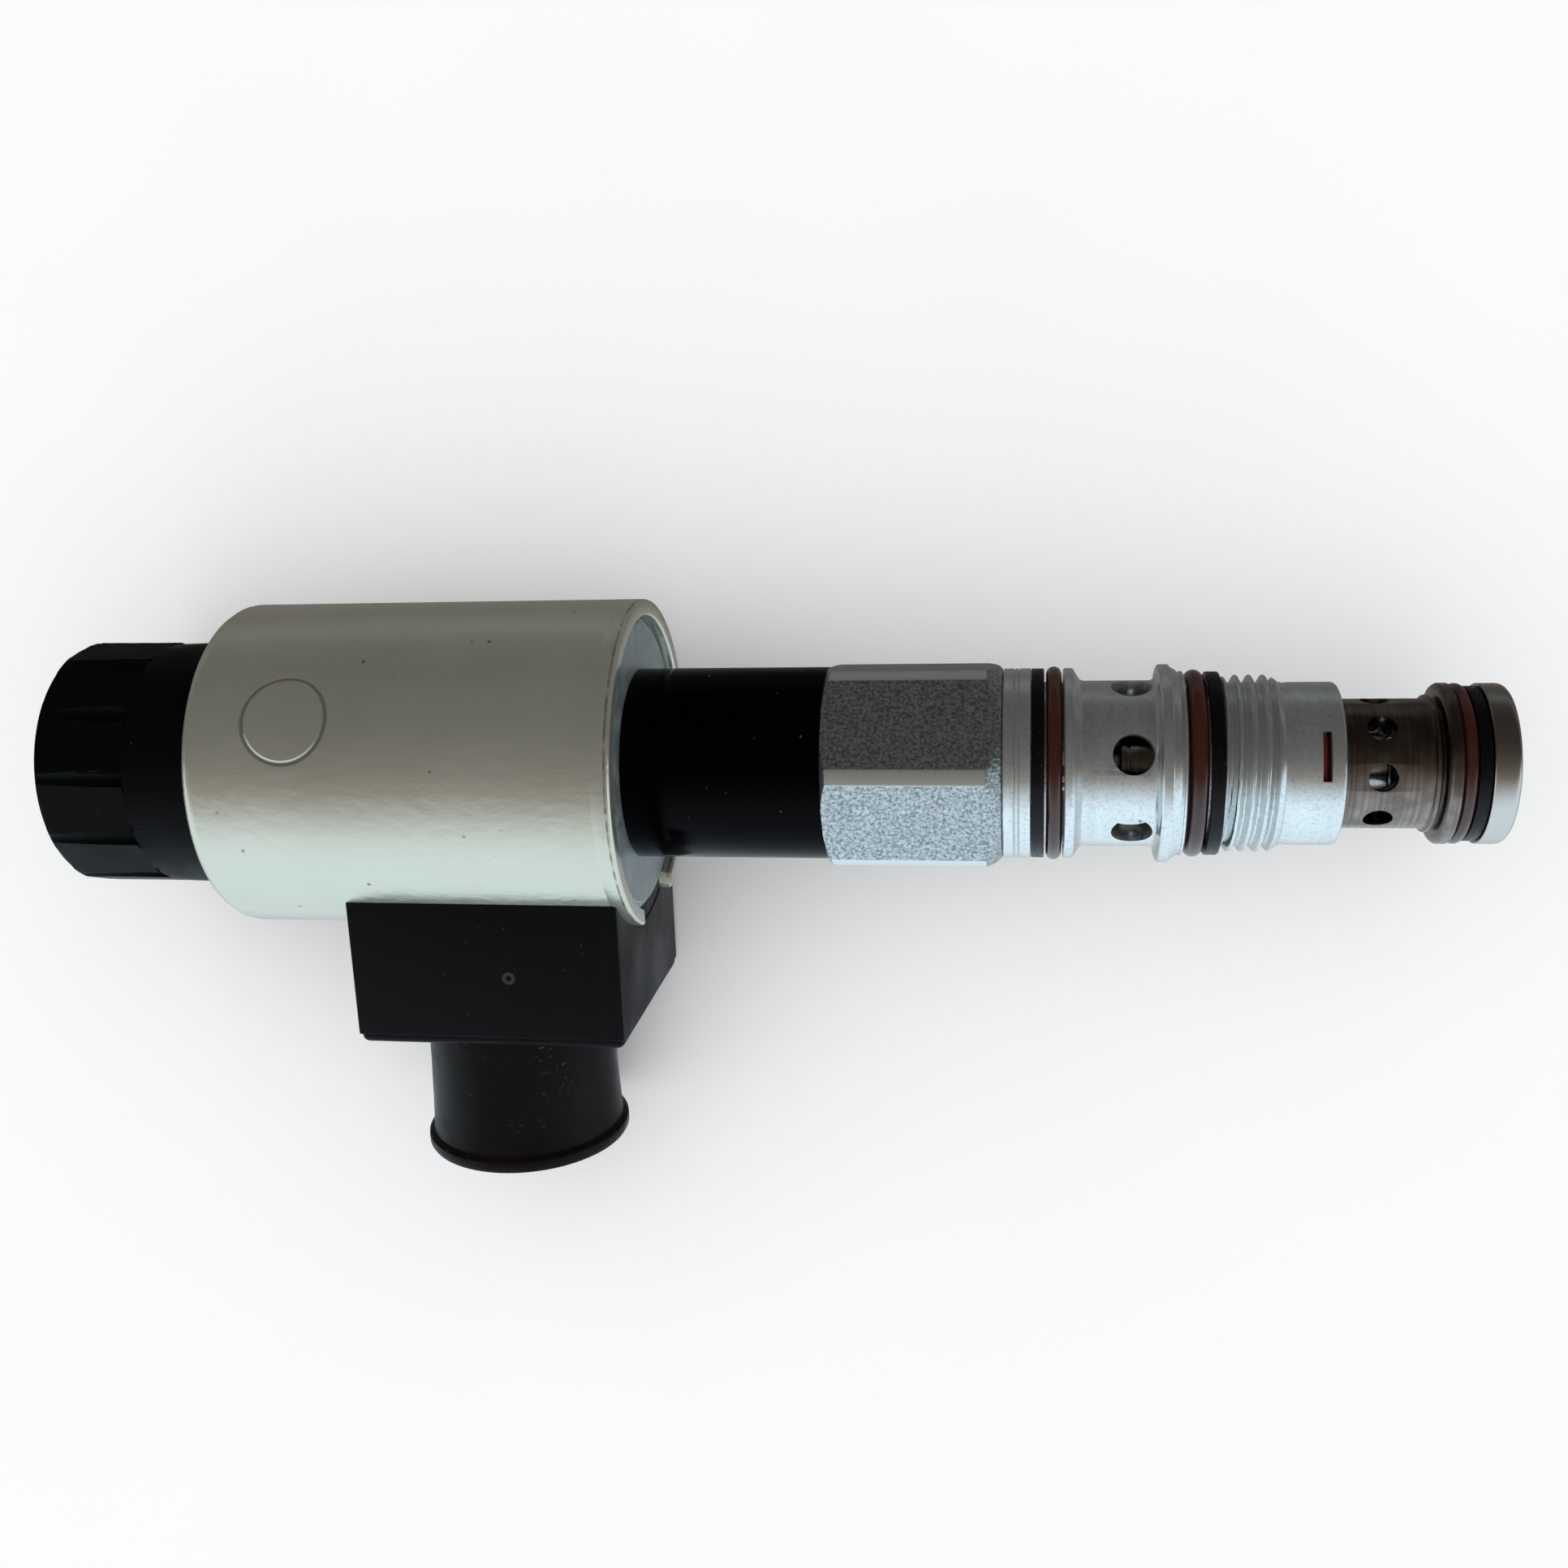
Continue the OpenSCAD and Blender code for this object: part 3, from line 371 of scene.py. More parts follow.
wire(satin_zinc, Base_Color=zinc_tone, Normal=relief,
     Roughness=add(satin_zinc, "MapRange",
                   {"From Min": 0.3, "From Max": 0.7, "To Min": 0.225, "To Max": 0.265}, {"Value": clouds}))
hand_in(shell, "coil", "zinc_shell", satin_zinc, "coil_shell")


# Front pole plate: a stamped soft-iron disc pressed into the can's mouth and plated grey.
# Its edge is chamfered and its face shows faint cloudy press marks.
def copy_of(node, width, segments=2, angle=35):
    """A copy of a CAD node as one clean skin, with its sharp edges rounded in millimetres."""
    start_clean()
    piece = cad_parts[node].copy()
    piece.data = piece.data.copy()
    piece.name = piece.data.name = node + "_made"
    piece.parent = None
    piece.matrix_world = Matrix.Identity(4)
    bpy.context.collection.objects.link(piece)
    pick(piece)
    bpy.ops.object.mode_set(mode="EDIT")
    bpy.ops.mesh.select_all(action="SELECT")
    bpy.ops.mesh.remove_doubles(threshold=1e-7)
    bpy.ops.mesh.dissolve_limited(angle_limit=math.radians(0.5), use_dissolve_boundaries=False)
    bpy.ops.object.mode_set(mode="OBJECT")
    for key in [key for key in piece.keys() if key.startswith("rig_")]:
        del piece[key]
    soften(piece, width, segments, angle)
    return piece


plate_low, plate_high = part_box("front_plate")
plate_back, plate_face, plate_r = plate_low.x / mm, plate_high.x / mm, plate_high.z / mm
plate = turned("pole_plate", [(plate_back, bore_r), (plate_back, plate_r), (plate_face - 0.7, plate_r),
                              (plate_face - 0.55, plate_r - 0.25), (plate_face - 0.55, plate_r - 0.55),
                              (plate_face - 0.12, plate_r - 0.75), (plate_face, plate_r - 0.95),
                              (plate_face, 7.3), (plate_face - 0.25, bore_r)], 192)
# Grey zinc on soft iron: dull and uneven, because the blank was sheared and not polished
grey_iron = finish_of("grey_zinc_on_soft_iron", "#9fabad", 0.75, 0.42)
press_marks = grain(grey_iron, 2.2, 4)
relief = add(grey_iron, "Bump", {"Strength": 0.3, "Distance": 0.02 * mm},
             {"Height": grain(grey_iron, 0.6, 3)})
relief = add(grey_iron, "Bump", {"Strength": 0.3, "Distance": 0.05 * mm},
             {"Height": press_marks, "Normal": relief})
wire(grey_iron, Normal=relief,
     Roughness=add(grey_iron, "MapRange",
                   {"From Min": 0.3, "From Max": 0.7, "To Min": 0.36, "To Max": 0.55},
                   {"Value": press_marks}),
     Base_Color=add(grey_iron, "Mix", {"data_type": "RGBA", 6: colour("#97a3a5"), 7: colour("#adb8ba")},
                    {0: add(grey_iron, "MapRange", {"From Min": 0.4, "From Max": 0.65},
                            {"Value": press_marks})}).outputs[2])
hand_in(plate, "coil", "pole_steel", grey_iron, "front_plate")

# Inside the can: a glass-filled nylon bobbin and the copper winding on it.
# The bobbin is moulded and matt; the wire is enamelled, so it shines orange in fine turns, with painted
# shade in the grooves between the turns and a painted highlight on their crests.
bobbin_nylon = finish_of("glass_filled_nylon_bobbin", "#1d1d1d", 0, 0.55)
wire(bobbin_nylon,
     Normal=add(bobbin_nylon, "Bump", {"Strength": 0.3, "Distance": 0.02 * mm},
                {"Height": grain(bobbin_nylon, 0.3)}),
     Roughness=add(bobbin_nylon, "MapRange",
                   {"From Min": 0.3, "From Max": 0.7, "To Min": 0.5, "To Max": 0.62},
                   {"Value": grain(bobbin_nylon, 3)}))
dress(bobbin_nylon, "bobbin")
copper = finish_of("enamelled_copper_wire", "#c9793a", 1, 0.3)
wire_turns_and_shade = add(copper, "TexWave",
                 {"wave_type": "BANDS", "bands_direction": "X", "Scale": 1 / (0.45 * mm) / 20},
                 {"Vector": add(copper, "TexCoord").outputs["Object"]})
# The colour follows the turns' relief: painted shade, darker in the grooves, and a painted highlight,
# lighter on the crests.
wire(copper, Normal=add(copper, "Bump", {"Strength": 0.8, "Distance": 0.1 * mm}, {"Height": wire_turns_and_shade}),
     Base_Color=add(copper, "Mix", {"data_type": "RGBA", 6: colour("#8d4a1f"), 7: colour("#d08243")},
                    {0: wire_turns_and_shade}).outputs[2])
dress(copper, "winding")

# Overmould: black glass-filled nylon, injected round the winding and out through the can's slot.
# The connector block has crisp corners, a rounded rim round its mating face, fine moulded
# grain, and the small round scar of the gate on its upper side.
block_left, block_right, reach, block_half, play = -93.95, -61.55, 31, 14.1, 0.02
fill_r = inner_r - play


def point_to_connector(piece):
    """Turns a piece drawn along -Y to where the connector points."""
    piece.rotation_euler = (connector, 0, 0)
    settle(piece)


housing = block((block_left, 1.1 - reach, -block_half), (block_right, -12, block_half))
housing.name = "connector_block"
soften(housing, 0.3, 3)
point_to_connector(housing)
cut(housing, turned("shell_clearance", [(block_left - 2, 0), (block_left - 2, shell_r + play),
                                        (front + 2, shell_r + play), (front + 2, 0)], 256))
rim_depth, rim_inset, rim_round = 2.4, 0.1, 0.95
rim = block((block_left + rim_inset, -reach, 0.12 - block_half),
            (block_right - rim_inset, rim_depth - reach, block_half - 0.12))
rim.name = "mating_rim"
soften(rim, rim_round, 5)
point_to_connector(rim)
neck = block((slot_left + play, 1.5 - reach, play - slot_half),
             (block_right - rim_inset, -15.6, slot_half - play))
neck.name = "neck_through_slot"
point_to_connector(neck)
cut(neck, turned("plate_clearance", [(plate_back - play, 0), (plate_back - play, inner_r),
                                     (front + 2, inner_r), (front + 2, 0)], 256))
winding_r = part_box("winding")[1].z / mm + 0.04
fill_in_can = turned("fill_in_can",
                     [(rear + rear_wall + play, winding_r), (rear + rear_wall + play, fill_r),
                      (plate_back - play, fill_r), (plate_back - play, winding_r)],
                     128)
# Black moulded nylon: fine mould grain under a dull sheen, cloudy where the melt flowed, with a little dust
black_nylon = finish_of("black_moulded_nylon", "#030404", 0, 0.34, Specular_IOR_Level=0.08)
place = add(black_nylon, "TexCoord").outputs["Object"]
gate_station, gate_reach = -74.85, 22.3
gate_place = (gate_station * mm,
              (-gate_reach * math.cos(connector) - block_half * math.sin(connector)) * mm,
              (-gate_reach * math.sin(connector) + block_half * math.cos(connector)) * mm)
gate_distance = add(black_nylon, "VectorMath", {"operation": "DISTANCE", 1: gate_place},
                    {0: place}).outputs["Value"]
gate_ring = line_at(black_nylon, gate_distance, 0.55, 0.1, 0.3)
mould_grain = grain(black_nylon, 0.35, 3)
dust = add(black_nylon, "MapRange", {"From Min": 0.03, "From Max": 0.07, "To Min": 1.0, "To Max": 0.0},
           {"Value": add(black_nylon, "TexVoronoi", {"Scale": 1 / (2.6 * mm)}, {"Vector": place})})
flow = grain(black_nylon, 8, 2)
nylon_tone = add(black_nylon, "Mix", {"data_type": "RGBA", 6: colour("#020303"), 7: colour("#050606")},
                 {0: flow}).outputs[2]
nylon_tone = add(black_nylon, "Mix", {"data_type": "RGBA", 7: colour("#1e2121")},
                 {0: dust, 6: nylon_tone}).outputs[2]
along = add(black_nylon, "SeparateXYZ", {}, {0: place}).outputs["X"]
seam = line_at(black_nylon, along, block_right - 1.9, 0.03, 0.12)
nylon_tone = add(black_nylon, "Mix", {"data_type": "RGBA", 7: colour("#2e3131")},
                 {0: gate_ring, 6: nylon_tone}).outputs[2]
relief = add(black_nylon, "Bump", {"Strength": 0.25, "Distance": 0.02 * mm}, {"Height": mould_grain})
relief = add(black_nylon, "Bump", {"Strength": 0.8, "Distance": 0.15 * mm},
             {"Height": gate_ring, "Normal": relief})
relief = add(black_nylon, "Bump", {"Strength": 0.5, "Distance": 0.06 * mm},
             {"Height": seam, "Normal": relief})
wire(black_nylon, Base_Color=nylon_tone, Normal=relief,
     Roughness=add(black_nylon, "MapRange",
                   {"From Min": 0.3, "From Max": 0.7, "To Min": 0.36, "To Max": 0.52}, {"Value": flow}))
for piece in (housing, rim, neck, fill_in_can):
    hand_in(piece, "coil", "black_nylon", black_nylon, "overmould")

# Terminals: three tinned brass blades moulded into the block, and the brass insert for the plug's screw.
# The blades are stamped, so their edges are slightly rounded; the insert is turned.
tinned_brass = finish_of("tinned_brass", "#c3beb0", 1, 0.28)
tin_streaks = grain(tinned_brass, 0.3, 2, (1, 8, 8))
wire(tinned_brass,
     Normal=add(tinned_brass, "Bump", {"Strength": 0.3, "Distance": 0.01 * mm}, {"Height": tin_streaks}),
     Base_Color=add(tinned_brass, "Mix", {"data_type": "RGBA", 6: colour("#b8b1a0"), 7: colour("#cfcabd")},
                    {0: grain(tinned_brass, 2, 3)}).outputs[2])
for blade in ("power_blades", "earth_blade"):
    hand_in(copy_of(blade, 0.18), "coil", "terminal_brass", tinned_brass, blade)
turned_brass = finish_of("turned_brass", "#c79a4c", 1, 0.3)
wire(turned_brass,
     Normal=add(turned_brass, "Bump", {"Strength": 0.3, "Distance": 0.01 * mm},
                {"Height": grain(turned_brass, 0.2, 2)}),
     Roughness=add(turned_brass, "MapRange",
                   {"From Min": 0.3, "From Max": 0.7, "To Min": 0.24, "To Max": 0.4},
                   {"Value": grain(turned_brass, 1.5)}))
dress(turned_brass, "screw_insert", "air_gap_shim")

# Protective cap: a polyethylene cap pushed over the blades for shipping. It flares a little to a thin
# pull lip, has a shallow dish in its end, and is scuffed by handling; the lip is nicked.
cap_x, cap_top, cap_wall = -78.6, 31.02, 1.3
cap_outline = [(cap_top, 10.1), (cap_top, 11.25), (cap_top + 0.2, 11.45), (cap_top + 6, 11.55),
               (cap_top + 11, 11.73), (cap_end - 2.3, 11.91), (cap_end - 1.95, 11.97),
               (cap_end - 1.75, 12.15), (cap_end - 1.6, 12.43), (cap_end - 1.35, 12.61),
               (cap_end - 0.9, lip_r), (cap_end - 0.35, 12.63), (cap_end - 0.08, 12.47), (cap_end, 12.2),
               (cap_end, 11.5), (cap_end - 0.12, 11.35), (cap_end - 0.5, 11.28), (cap_end - 0.5, 0),
               (cap_end - cap_wall, 0), (cap_end - cap_wall, 10.1)]
cap = turned("shipping_cap", cap_outline, 160)
cap.rotation_euler = (0, 0, -math.pi / 2)
settle(cap)
cap.rotation_euler = (connector, 0, 0)
cap.location = (cap_x * mm, 0, 0)
settle(cap)
# Polyethylene: soft, so it takes pale nicks, and faintly brown where handling has polished it
cap_plastic = finish_of("scuffed_black_polyethylene", "#0f0e0c", 0, 0.3, Specular_IOR_Level=0.07)
handling = grain(cap_plastic, 5, 2)
nicks = add(cap_plastic, "Math", {"operation": "MULTIPLY"},
            {0: add(cap_plastic, "MapRange", {"From Min": 0.63, "From Max": 0.72},
                    {"Value": grain(cap_plastic, 0.4, 3, (4, 1, 1))}),
             1: add(cap_plastic, "MapRange", {"From Min": 0.52, "From Max": 0.64}, {"Value": handling})})
cap_tone = add(cap_plastic, "Mix", {"data_type": "RGBA", 6: colour("#080706"), 7: colour("#130f0c")},
               {0: grain(cap_plastic, 7, 2)}).outputs[2]
cap_tone = add(cap_plastic, "Mix", {"data_type": "RGBA", 7: colour("#3a3a37")},
               {0: nicks, 6: cap_tone}).outputs[2]
relief = add(cap_plastic, "Bump", {"Strength": 0.15, "Distance": 0.03 * mm},
             {"Height": grain(cap_plastic, 1.2, 2)})
relief = add(cap_plastic, "Bump", {"Strength": 0.5, "Distance": 0.06 * mm},
             {"Height": nicks, "Normal": relief})
wire(cap_plastic, Base_Color=cap_tone, Normal=relief,
     Roughness=add(cap_plastic, "MapRange",
                   {"From Min": 0.35, "From Max": 0.65, "To Min": 0.24, "To Max": 0.4},
                   {"Value": handling}))
hand_in(cap, "cap", "cap_plastic", cap_plastic, "protective_cap")

# Coil nut: a moulded nylon hand nut that screws on the tube's stud and clamps the coil.
# Its grip has twelve flats; the grooves between them deepen towards a smooth skirt that flares slightly.
nut_low, nut_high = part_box("coil_nut")
nut_left, nut_right = nut_low.x / mm, nut_high.x / mm
grip_len, flat_step, flat_r, first_groove, groove_r = 11.1, 30, 14.6, -2.3, 0.95
grip_right = nut_left + grip_len
corner_r = flat_r / math.cos(math.radians(flat_step / 2))
nut_outline = [(nut_left + 8, 0), (nut_left, 0), (nut_left, 7), (nut_left, 14.2), (nut_left + 0.03, 14.42),
               (nut_left + 0.1, 14.58), (nut_left + 0.25, 14.8), (nut_left + 0.7, corner_r - 0.1)]
nut_outline += [(nut_left + 0.7 + step * (grip_right - nut_left - 0.95) / 12,
                 corner_r - 0.1) for step in range(1, 13)]
nut_outline += [(grip_right - 0.08, corner_r - 0.12), (grip_right + 0.02, corner_r - 0.25),
                (grip_right + 0.04, 14.7), (nut_right - 3, 14.86), (nut_right - 0.5, 14.98),
                (nut_right - 0.12, 14.95), (nut_right, 14.75), (nut_right, 9.1), (nut_right - 1.54, 9.1),
                (nut_right - 1.54, 7.2), (nut_left + 8, 7.2)]
nut = turned("hand_nut", nut_outline, 720)
for point in nut.data.vertices:
    station, radius = point.co.x / mm, math.hypot(point.co.y, point.co.z) / mm
    if radius < 14 or station > grip_right + 0.03:
        continue
    turn = math.degrees(math.atan2(point.co.y, point.co.z)) - first_groove
    from_groove = math.radians(abs((turn + flat_step / 2) % flat_step - flat_step / 2))
    grown = min(radius, flat_r / math.cos(math.radians(flat_step / 2) - from_groove))
    groove_centre = corner_r - 0.3 - 0.8 * (station - nut_left) / grip_len + groove_r
    sideways = groove_centre * math.sin(from_groove)
    if sideways < groove_r:
        grown = min(grown, groove_centre * math.cos(from_groove) - math.sqrt(groove_r ** 2 - sideways ** 2))
    point.co.y *= grown / radius
    point.co.z *= grown / radius
# Hand-nut nylon: duller than the block, because hands have rubbed it, with a few dust specks
nut_nylon = finish_of("black_nylon_hand_nut", "#040505", 0, 0.38, Specular_IOR_Level=0.055)
relief = add(nut_nylon, "Bump", {"Strength": 0.25, "Distance": 0.02 * mm},
             {"Height": grain(nut_nylon, 0.35, 3)})
nut_dust = add(nut_nylon, "MapRange", {"From Min": 0.02, "From Max": 0.05, "To Min": 1.0, "To Max": 0.0},
               {"Value": add(nut_nylon, "TexVoronoi", {"Scale": 1 / (3.4 * mm)},
                             {"Vector": add(nut_nylon, "TexCoord").outputs["Object"]})})
nut_tone = add(nut_nylon, "Mix", {"data_type": "RGBA", 6: colour("#020303"), 7: colour("#050606")},
               {0: grain(nut_nylon, 9, 2)}).outputs[2]
wire(nut_nylon, Normal=relief,
     Base_Color=add(nut_nylon, "Mix", {"data_type": "RGBA", 7: colour("#1e201f")},
                    {0: nut_dust, 6: nut_tone}).outputs[2],
     Roughness=add(nut_nylon, "MapRange",
                   {"From Min": 0.3, "From Max": 0.7, "To Min": 0.34, "To Max": 0.5},
                   {"Value": grain(nut_nylon, 6, 2)}))
hand_in(nut, "nut", "nut_nylon", nut_nylon, "coil_nut", smooth=28)

# Seals: brown fluoro-rubber O-rings, moulded and oiled, so each carries one soft highlight.
# Black filled-PTFE back-up rings stand beside three of them; they are skived from tube and a little glossy.
brown_rubber = finish_of("brown_fluoro_rubber", "#2a110b", 0, 0.16, Specular_IOR_Level=0.6)
oil = grain(brown_rubber, 2.5, 2)
wire(brown_rubber,
     Normal=add(brown_rubber, "Bump", {"Strength": 0.2, "Distance": 0.02 * mm},
                {"Height": grain(brown_rubber, 0.4, 2)}),
     Base_Color=add(brown_rubber, "Mix", {"data_type": "RGBA", 6: colour("#240e09"), 7: colour("#361710")},
                    {0: oil}).outputs[2],
     Roughness=add(brown_rubber, "MapRange",
                   {"From Min": 0.3, "From Max": 0.7, "To Min": 0.1, "To Max": 0.2}, {"Value": oil}))
dress(brown_rubber, "nut_oring", "adapter_oring", "oring_1", "oring_2", "oring_3", "sleeve_oring")
black_ptfe = finish_of("black_filled_ptfe", "#070708", 0, 0.3, Specular_IOR_Level=0.2)
skiving = grain(black_ptfe, 0.3, 2, (1, 4, 4))
specks = add(black_ptfe, "MapRange", {"From Min": 0.66, "From Max": 0.74},
             {"Value": grain(black_ptfe, 0.3, 2)})
wire(black_ptfe,
     Normal=add(black_ptfe, "Bump", {"Strength": 0.5, "Distance": 0.02 * mm}, {"Height": skiving}),
     Base_Color=add(black_ptfe, "Mix", {"data_type": "RGBA", 6: colour("#040405"), 7: colour("#242526")},
                    {0: specks}).outputs[2],
     Roughness=add(black_ptfe, "MapRange",
                   {"From Min": 0.3, "From Max": 0.7, "To Min": 0.22, "To Max": 0.45}, {"Value": skiving}))
skived_rings = {"backup_ring_1": "cartridge", "backup_ring_2": "cartridge", "backup_ring_3": "nose"}
for name, body in skived_rings.items():
    low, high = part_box(name)
    left, right, outer = low.x / mm, high.x / mm, high.y / mm
    band = turned(name + "_skived",
                  [(left, outer - 1.0), (left, outer), (right, outer), (right, outer - 1.0)], 128)
    soften(band, 0.16)
    hand_in(band, body, "backup_ptfe", black_ptfe, name)

# Solenoid tube: drawn stainless tube with a brazed end plug and stud, hidden under the coil and the nut.
# Inside it are the soft-iron armature and pole piece, the ground push pin and a bronze guide bush.
drawn_stainless = finish_of("drawn_stainless_tube", "#b7b6b0", 1, 0.3)
tube_lines = grain(drawn_stainless, 0.25, 2, (20, 1, 1))
wire(drawn_stainless,
     Normal=add(drawn_stainless, "Bump", {"Strength": 0.25, "Distance": 0.01 * mm}, {"Height": tube_lines}),
     Roughness=add(drawn_stainless, "MapRange",
                   {"From Min": 0.3, "From Max": 0.7, "To Min": 0.24, "To Max": 0.36},
                   {"Value": tube_lines}))
dress(drawn_stainless, "solenoid_tube", "tube_plug")
soft_iron = finish_of("turned_soft_iron", "#7b7a78", 1, 0.35)
iron_lines = grain(soft_iron, 0.25, 2, (1, 20, 20))
wire(soft_iron,
     Normal=add(soft_iron, "Bump", {"Strength": 0.3, "Distance": 0.01 * mm}, {"Height": iron_lines}),
     Base_Color=add(soft_iron, "Mix", {"data_type": "RGBA", 6: colour("#6f6e6b"), 7: colour("#888682")},
                    {0: grain(soft_iron, 3, 2)}).outputs[2])
dress(soft_iron, "armature", "pole_piece")
ground_steel = finish_of("ground_hardened_steel", "#9a9893", 1, 0.2)
ground_lines = grain(ground_steel, 0.2, 2, (1, 20, 20))
wire(ground_steel,
     Normal=add(ground_steel, "Bump", {"Strength": 0.2, "Distance": 0.01 * mm}, {"Height": ground_lines}),
     Roughness=add(ground_steel, "MapRange",
                   {"From Min": 0.3, "From Max": 0.7, "To Min": 0.16, "To Max": 0.28},
                   {"Value": ground_lines}))
dress(ground_steel, "push_pin", "spool", "spring_seat")
sintered_bronze = finish_of("sintered_bronze", "#a5713a", 1, 0.45)
pores = grain(sintered_bronze, 0.2, 2)
wire(sintered_bronze,
     Normal=add(sintered_bronze, "Bump", {"Strength": 0.5, "Distance": 0.02 * mm}, {"Height": pores}),
     Base_Color=add(sintered_bronze, "Mix",
                    {"data_type": "RGBA", 6: colour("#8a5c2c"), 7: colour("#b98449")},
                    {0: pores}).outputs[2])
dress(sintered_bronze, "pin_bush")

# Adapter: turned steel with a glossy black zinc-nickel finish, screwed into the valve body.
# It joins the tube to the body and is smooth, with a few dust specks and faint lathe bands.
adapter = copy_of("adapter", 0.2, 2, 40)
# Black zinc-nickel: almost a mirror over fine lathe bands, so it stays black but for its edges and dust
black_plate = finish_of("glossy_black_zinc_nickel", "#020203", 0, 0.13, Specular_IOR_Level=0.035)
place = add(black_plate, "TexCoord").outputs["Object"]
lint = add(black_plate, "MapRange", {"From Min": 0.05, "From Max": 0.1, "To Min": 1.0, "To Max": 0.0},
           {"Value": add(black_plate, "TexVoronoi", {"Scale": 1 / (1.7 * mm)}, {"Vector": place})})
lint = add(black_plate, "Math", {"operation": "MULTIPLY"},
           {0: lint,
            1: add(black_plate, "MapRange", {"From Min": 0.5, "From Max": 0.6},
                   {"Value": grain(black_plate, 5, 2)})})
lathe_bands = grain(black_plate, 0.4, 2, (1, 30, 30))
wire(black_plate,
     Normal=add(black_plate, "Bump", {"Strength": 0.06, "Distance": 0.01 * mm}, {"Height": lathe_bands}),
     Base_Color=add(black_plate, "Mix", {"data_type": "RGBA", 6: colour("#010102"), 7: colour("#3c3f40")},
                    {0: lint}).outputs[2],
     Roughness=add(black_plate, "MapRange",
                   {"From Min": 0.3, "From Max": 0.7, "To Min": 0.12, "To Max": 0.24},
                   {"Value": grain(black_plate, 4, 2)}))
hand_in(adapter, "cartridge", "black_adapter", black_plate, "adapter")

# Valve body: one steel bar turned, threaded and cross-drilled, then bright zinc plated.
# From the coil: wrench hexagon with turned corners, scored land, seal groove, port neck with six holes,
# locating shoulder, seal groove, a real right-hand M20 x 1.5 thread, and a skirt with the wire's slot.
hex_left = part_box("valve_body")[0].x / mm
hex_right, corner_r, land_r, shoulder_r = hex_left + 19.9, 12.35, 10.85, 11.2
flat_r, hex_turn = 22.225 / 2, math.radians(-2.3)
thread_start, thread_end, skirt_right = 5.45, 11.825, 18.125
port_r, port_station, first_port = 2.25, -4.18, 11
crest_r, thread_depth, thread_pitch, skirt_r = 9.95, 0.86, 1.5, 9.1
rows_per_pitch = 20
rows = int((thread_end - thread_start) / thread_pitch * rows_per_pitch)
score = [(step, land_r - 0.13 * (step in (1.35, 1.85))) for step in (1.22, 1.35, 1.48, 1.72, 1.85, 1.98)]
body_outline = [(hex_right + 0.1, 7.25), (hex_right + 0.1, land_r - 0.08), (hex_right + 0.25, land_r)]
body_outline += [(hex_right + step, radius) for step, radius in score]
body_outline += [(-15.32, land_r), (-15.2, land_r - 0.12), (-15.2, 9.3), (-11.6, 9.3),
                 (-11.6, land_r - 0.12), (-11.48, land_r), (-10.75, land_r), (-10.5, land_r - 0.12),
                 (-10.3, land_r - 0.5), (-10.1, 10.05), (-9.9, 9.7), (-9.65, 9.47), (-9.3, 9.4),
                 (-8.8, 9.4), (-2.1, 9.4), (-1.8, 9.46), (-1.6, 9.65), (-1.45, 10.0), (-1.36, 10.5),
                 (-1.3, 10.9), (-1.22, 11.07), (-1.05, shoulder_r), (-0.1, shoulder_r),
                 (0, shoulder_r - 0.08), (0.03, shoulder_r - 0.22), (0.45, 10.75), (0.85, 10.48),
                 (0.9, 10.25), (1.15, 10.25), (1.2, 10.42), (1.42, 10.42), (1.5, 10.34), (1.5, 8.5),
                 (thread_start, 8.5)]
body_outline += [(thread_start + row * (thread_end - thread_start) / rows,
                  crest_r) for row in range(rows + 1)]
body_outline += [(12.1, 9.14), (12.35, 9.04), (12.7, 9.04), (12.95, skirt_r), (14, skirt_r),
                 (17.5, skirt_r), (17.8, skirt_r - 0.05), (18.0, skirt_r - 0.22),
                 (skirt_right, skirt_r - 0.5), (skirt_right, 7.25), (16.5, 7.25), (16.5, 7.7), (15.55, 7.7),
                 (15.55, 7.25)]
body = turned("turned_body", body_outline, 256)
for point in body.data.vertices:
    station, radius = point.co.x / mm, math.hypot(point.co.y, point.co.z) / mm
    if station < thread_start - 0.001 or station > thread_end + 0.001 or radius < 9.2:
        continue
    turn = math.atan2(point.co.y, point.co.z) / math.tau
    phase = ((station - thread_start) / thread_pitch - turn) % 1
    rise = min(1, max(0, abs(phase - 0.5) * 2 / 0.9 - 0.05))
    rise = rise * rise * (3 - 2 * rise)
    lead_in = min(1, (station - thread_start) / 0.7)
    runout = min(1, max(0, (thread_end - station) / 1.1))
    crest = 9.05 + (crest_r - 9.05) * (0.45 + 0.55 * lead_in)
    grown = crest - thread_depth * (1 - rise) * runout * min(1, 0.3 + lead_in)
    if runout < 1:
        grown = min(grown, 9.14 + 0.8 * runout ** 0.7)
    point.co.y *= grown / radius
    point.co.z *= grown / radius


def drill(radius, station, turn, reach, depth):
    """A drill's shape, pointing at the valve axis from the reach to the depth, in millimetres."""
    start_clean()
    middle_r = (reach + depth) / 2
    bpy.ops.mesh.primitive_cylinder_add(vertices=64, radius=radius * mm, depth=(reach - depth) * mm,
                                        location=(0, 0, middle_r * mm))
    tool = bpy.context.object
    settle(tool)
    tool.rotation_euler = (-turn, 0, 0)
    tool.location = (station * mm, 0, 0)
    return tool


cut(body,
    *[drill(port_r, port_station, math.radians(first_port + 60 * hole), 14, 6.5) for hole in range(6)])
wire_left, wire_right, wire_half, wire_turn = 15.55, 16.5, 2.7, 10
wire_slot = block((wire_left, -wire_half, 5.5), (wire_right, wire_half, 12))
wire_slot.rotation_euler = (-math.radians(wire_turn), 0, 0)
cut(body, wire_slot)
soften(body, 0.06, 2, 50)

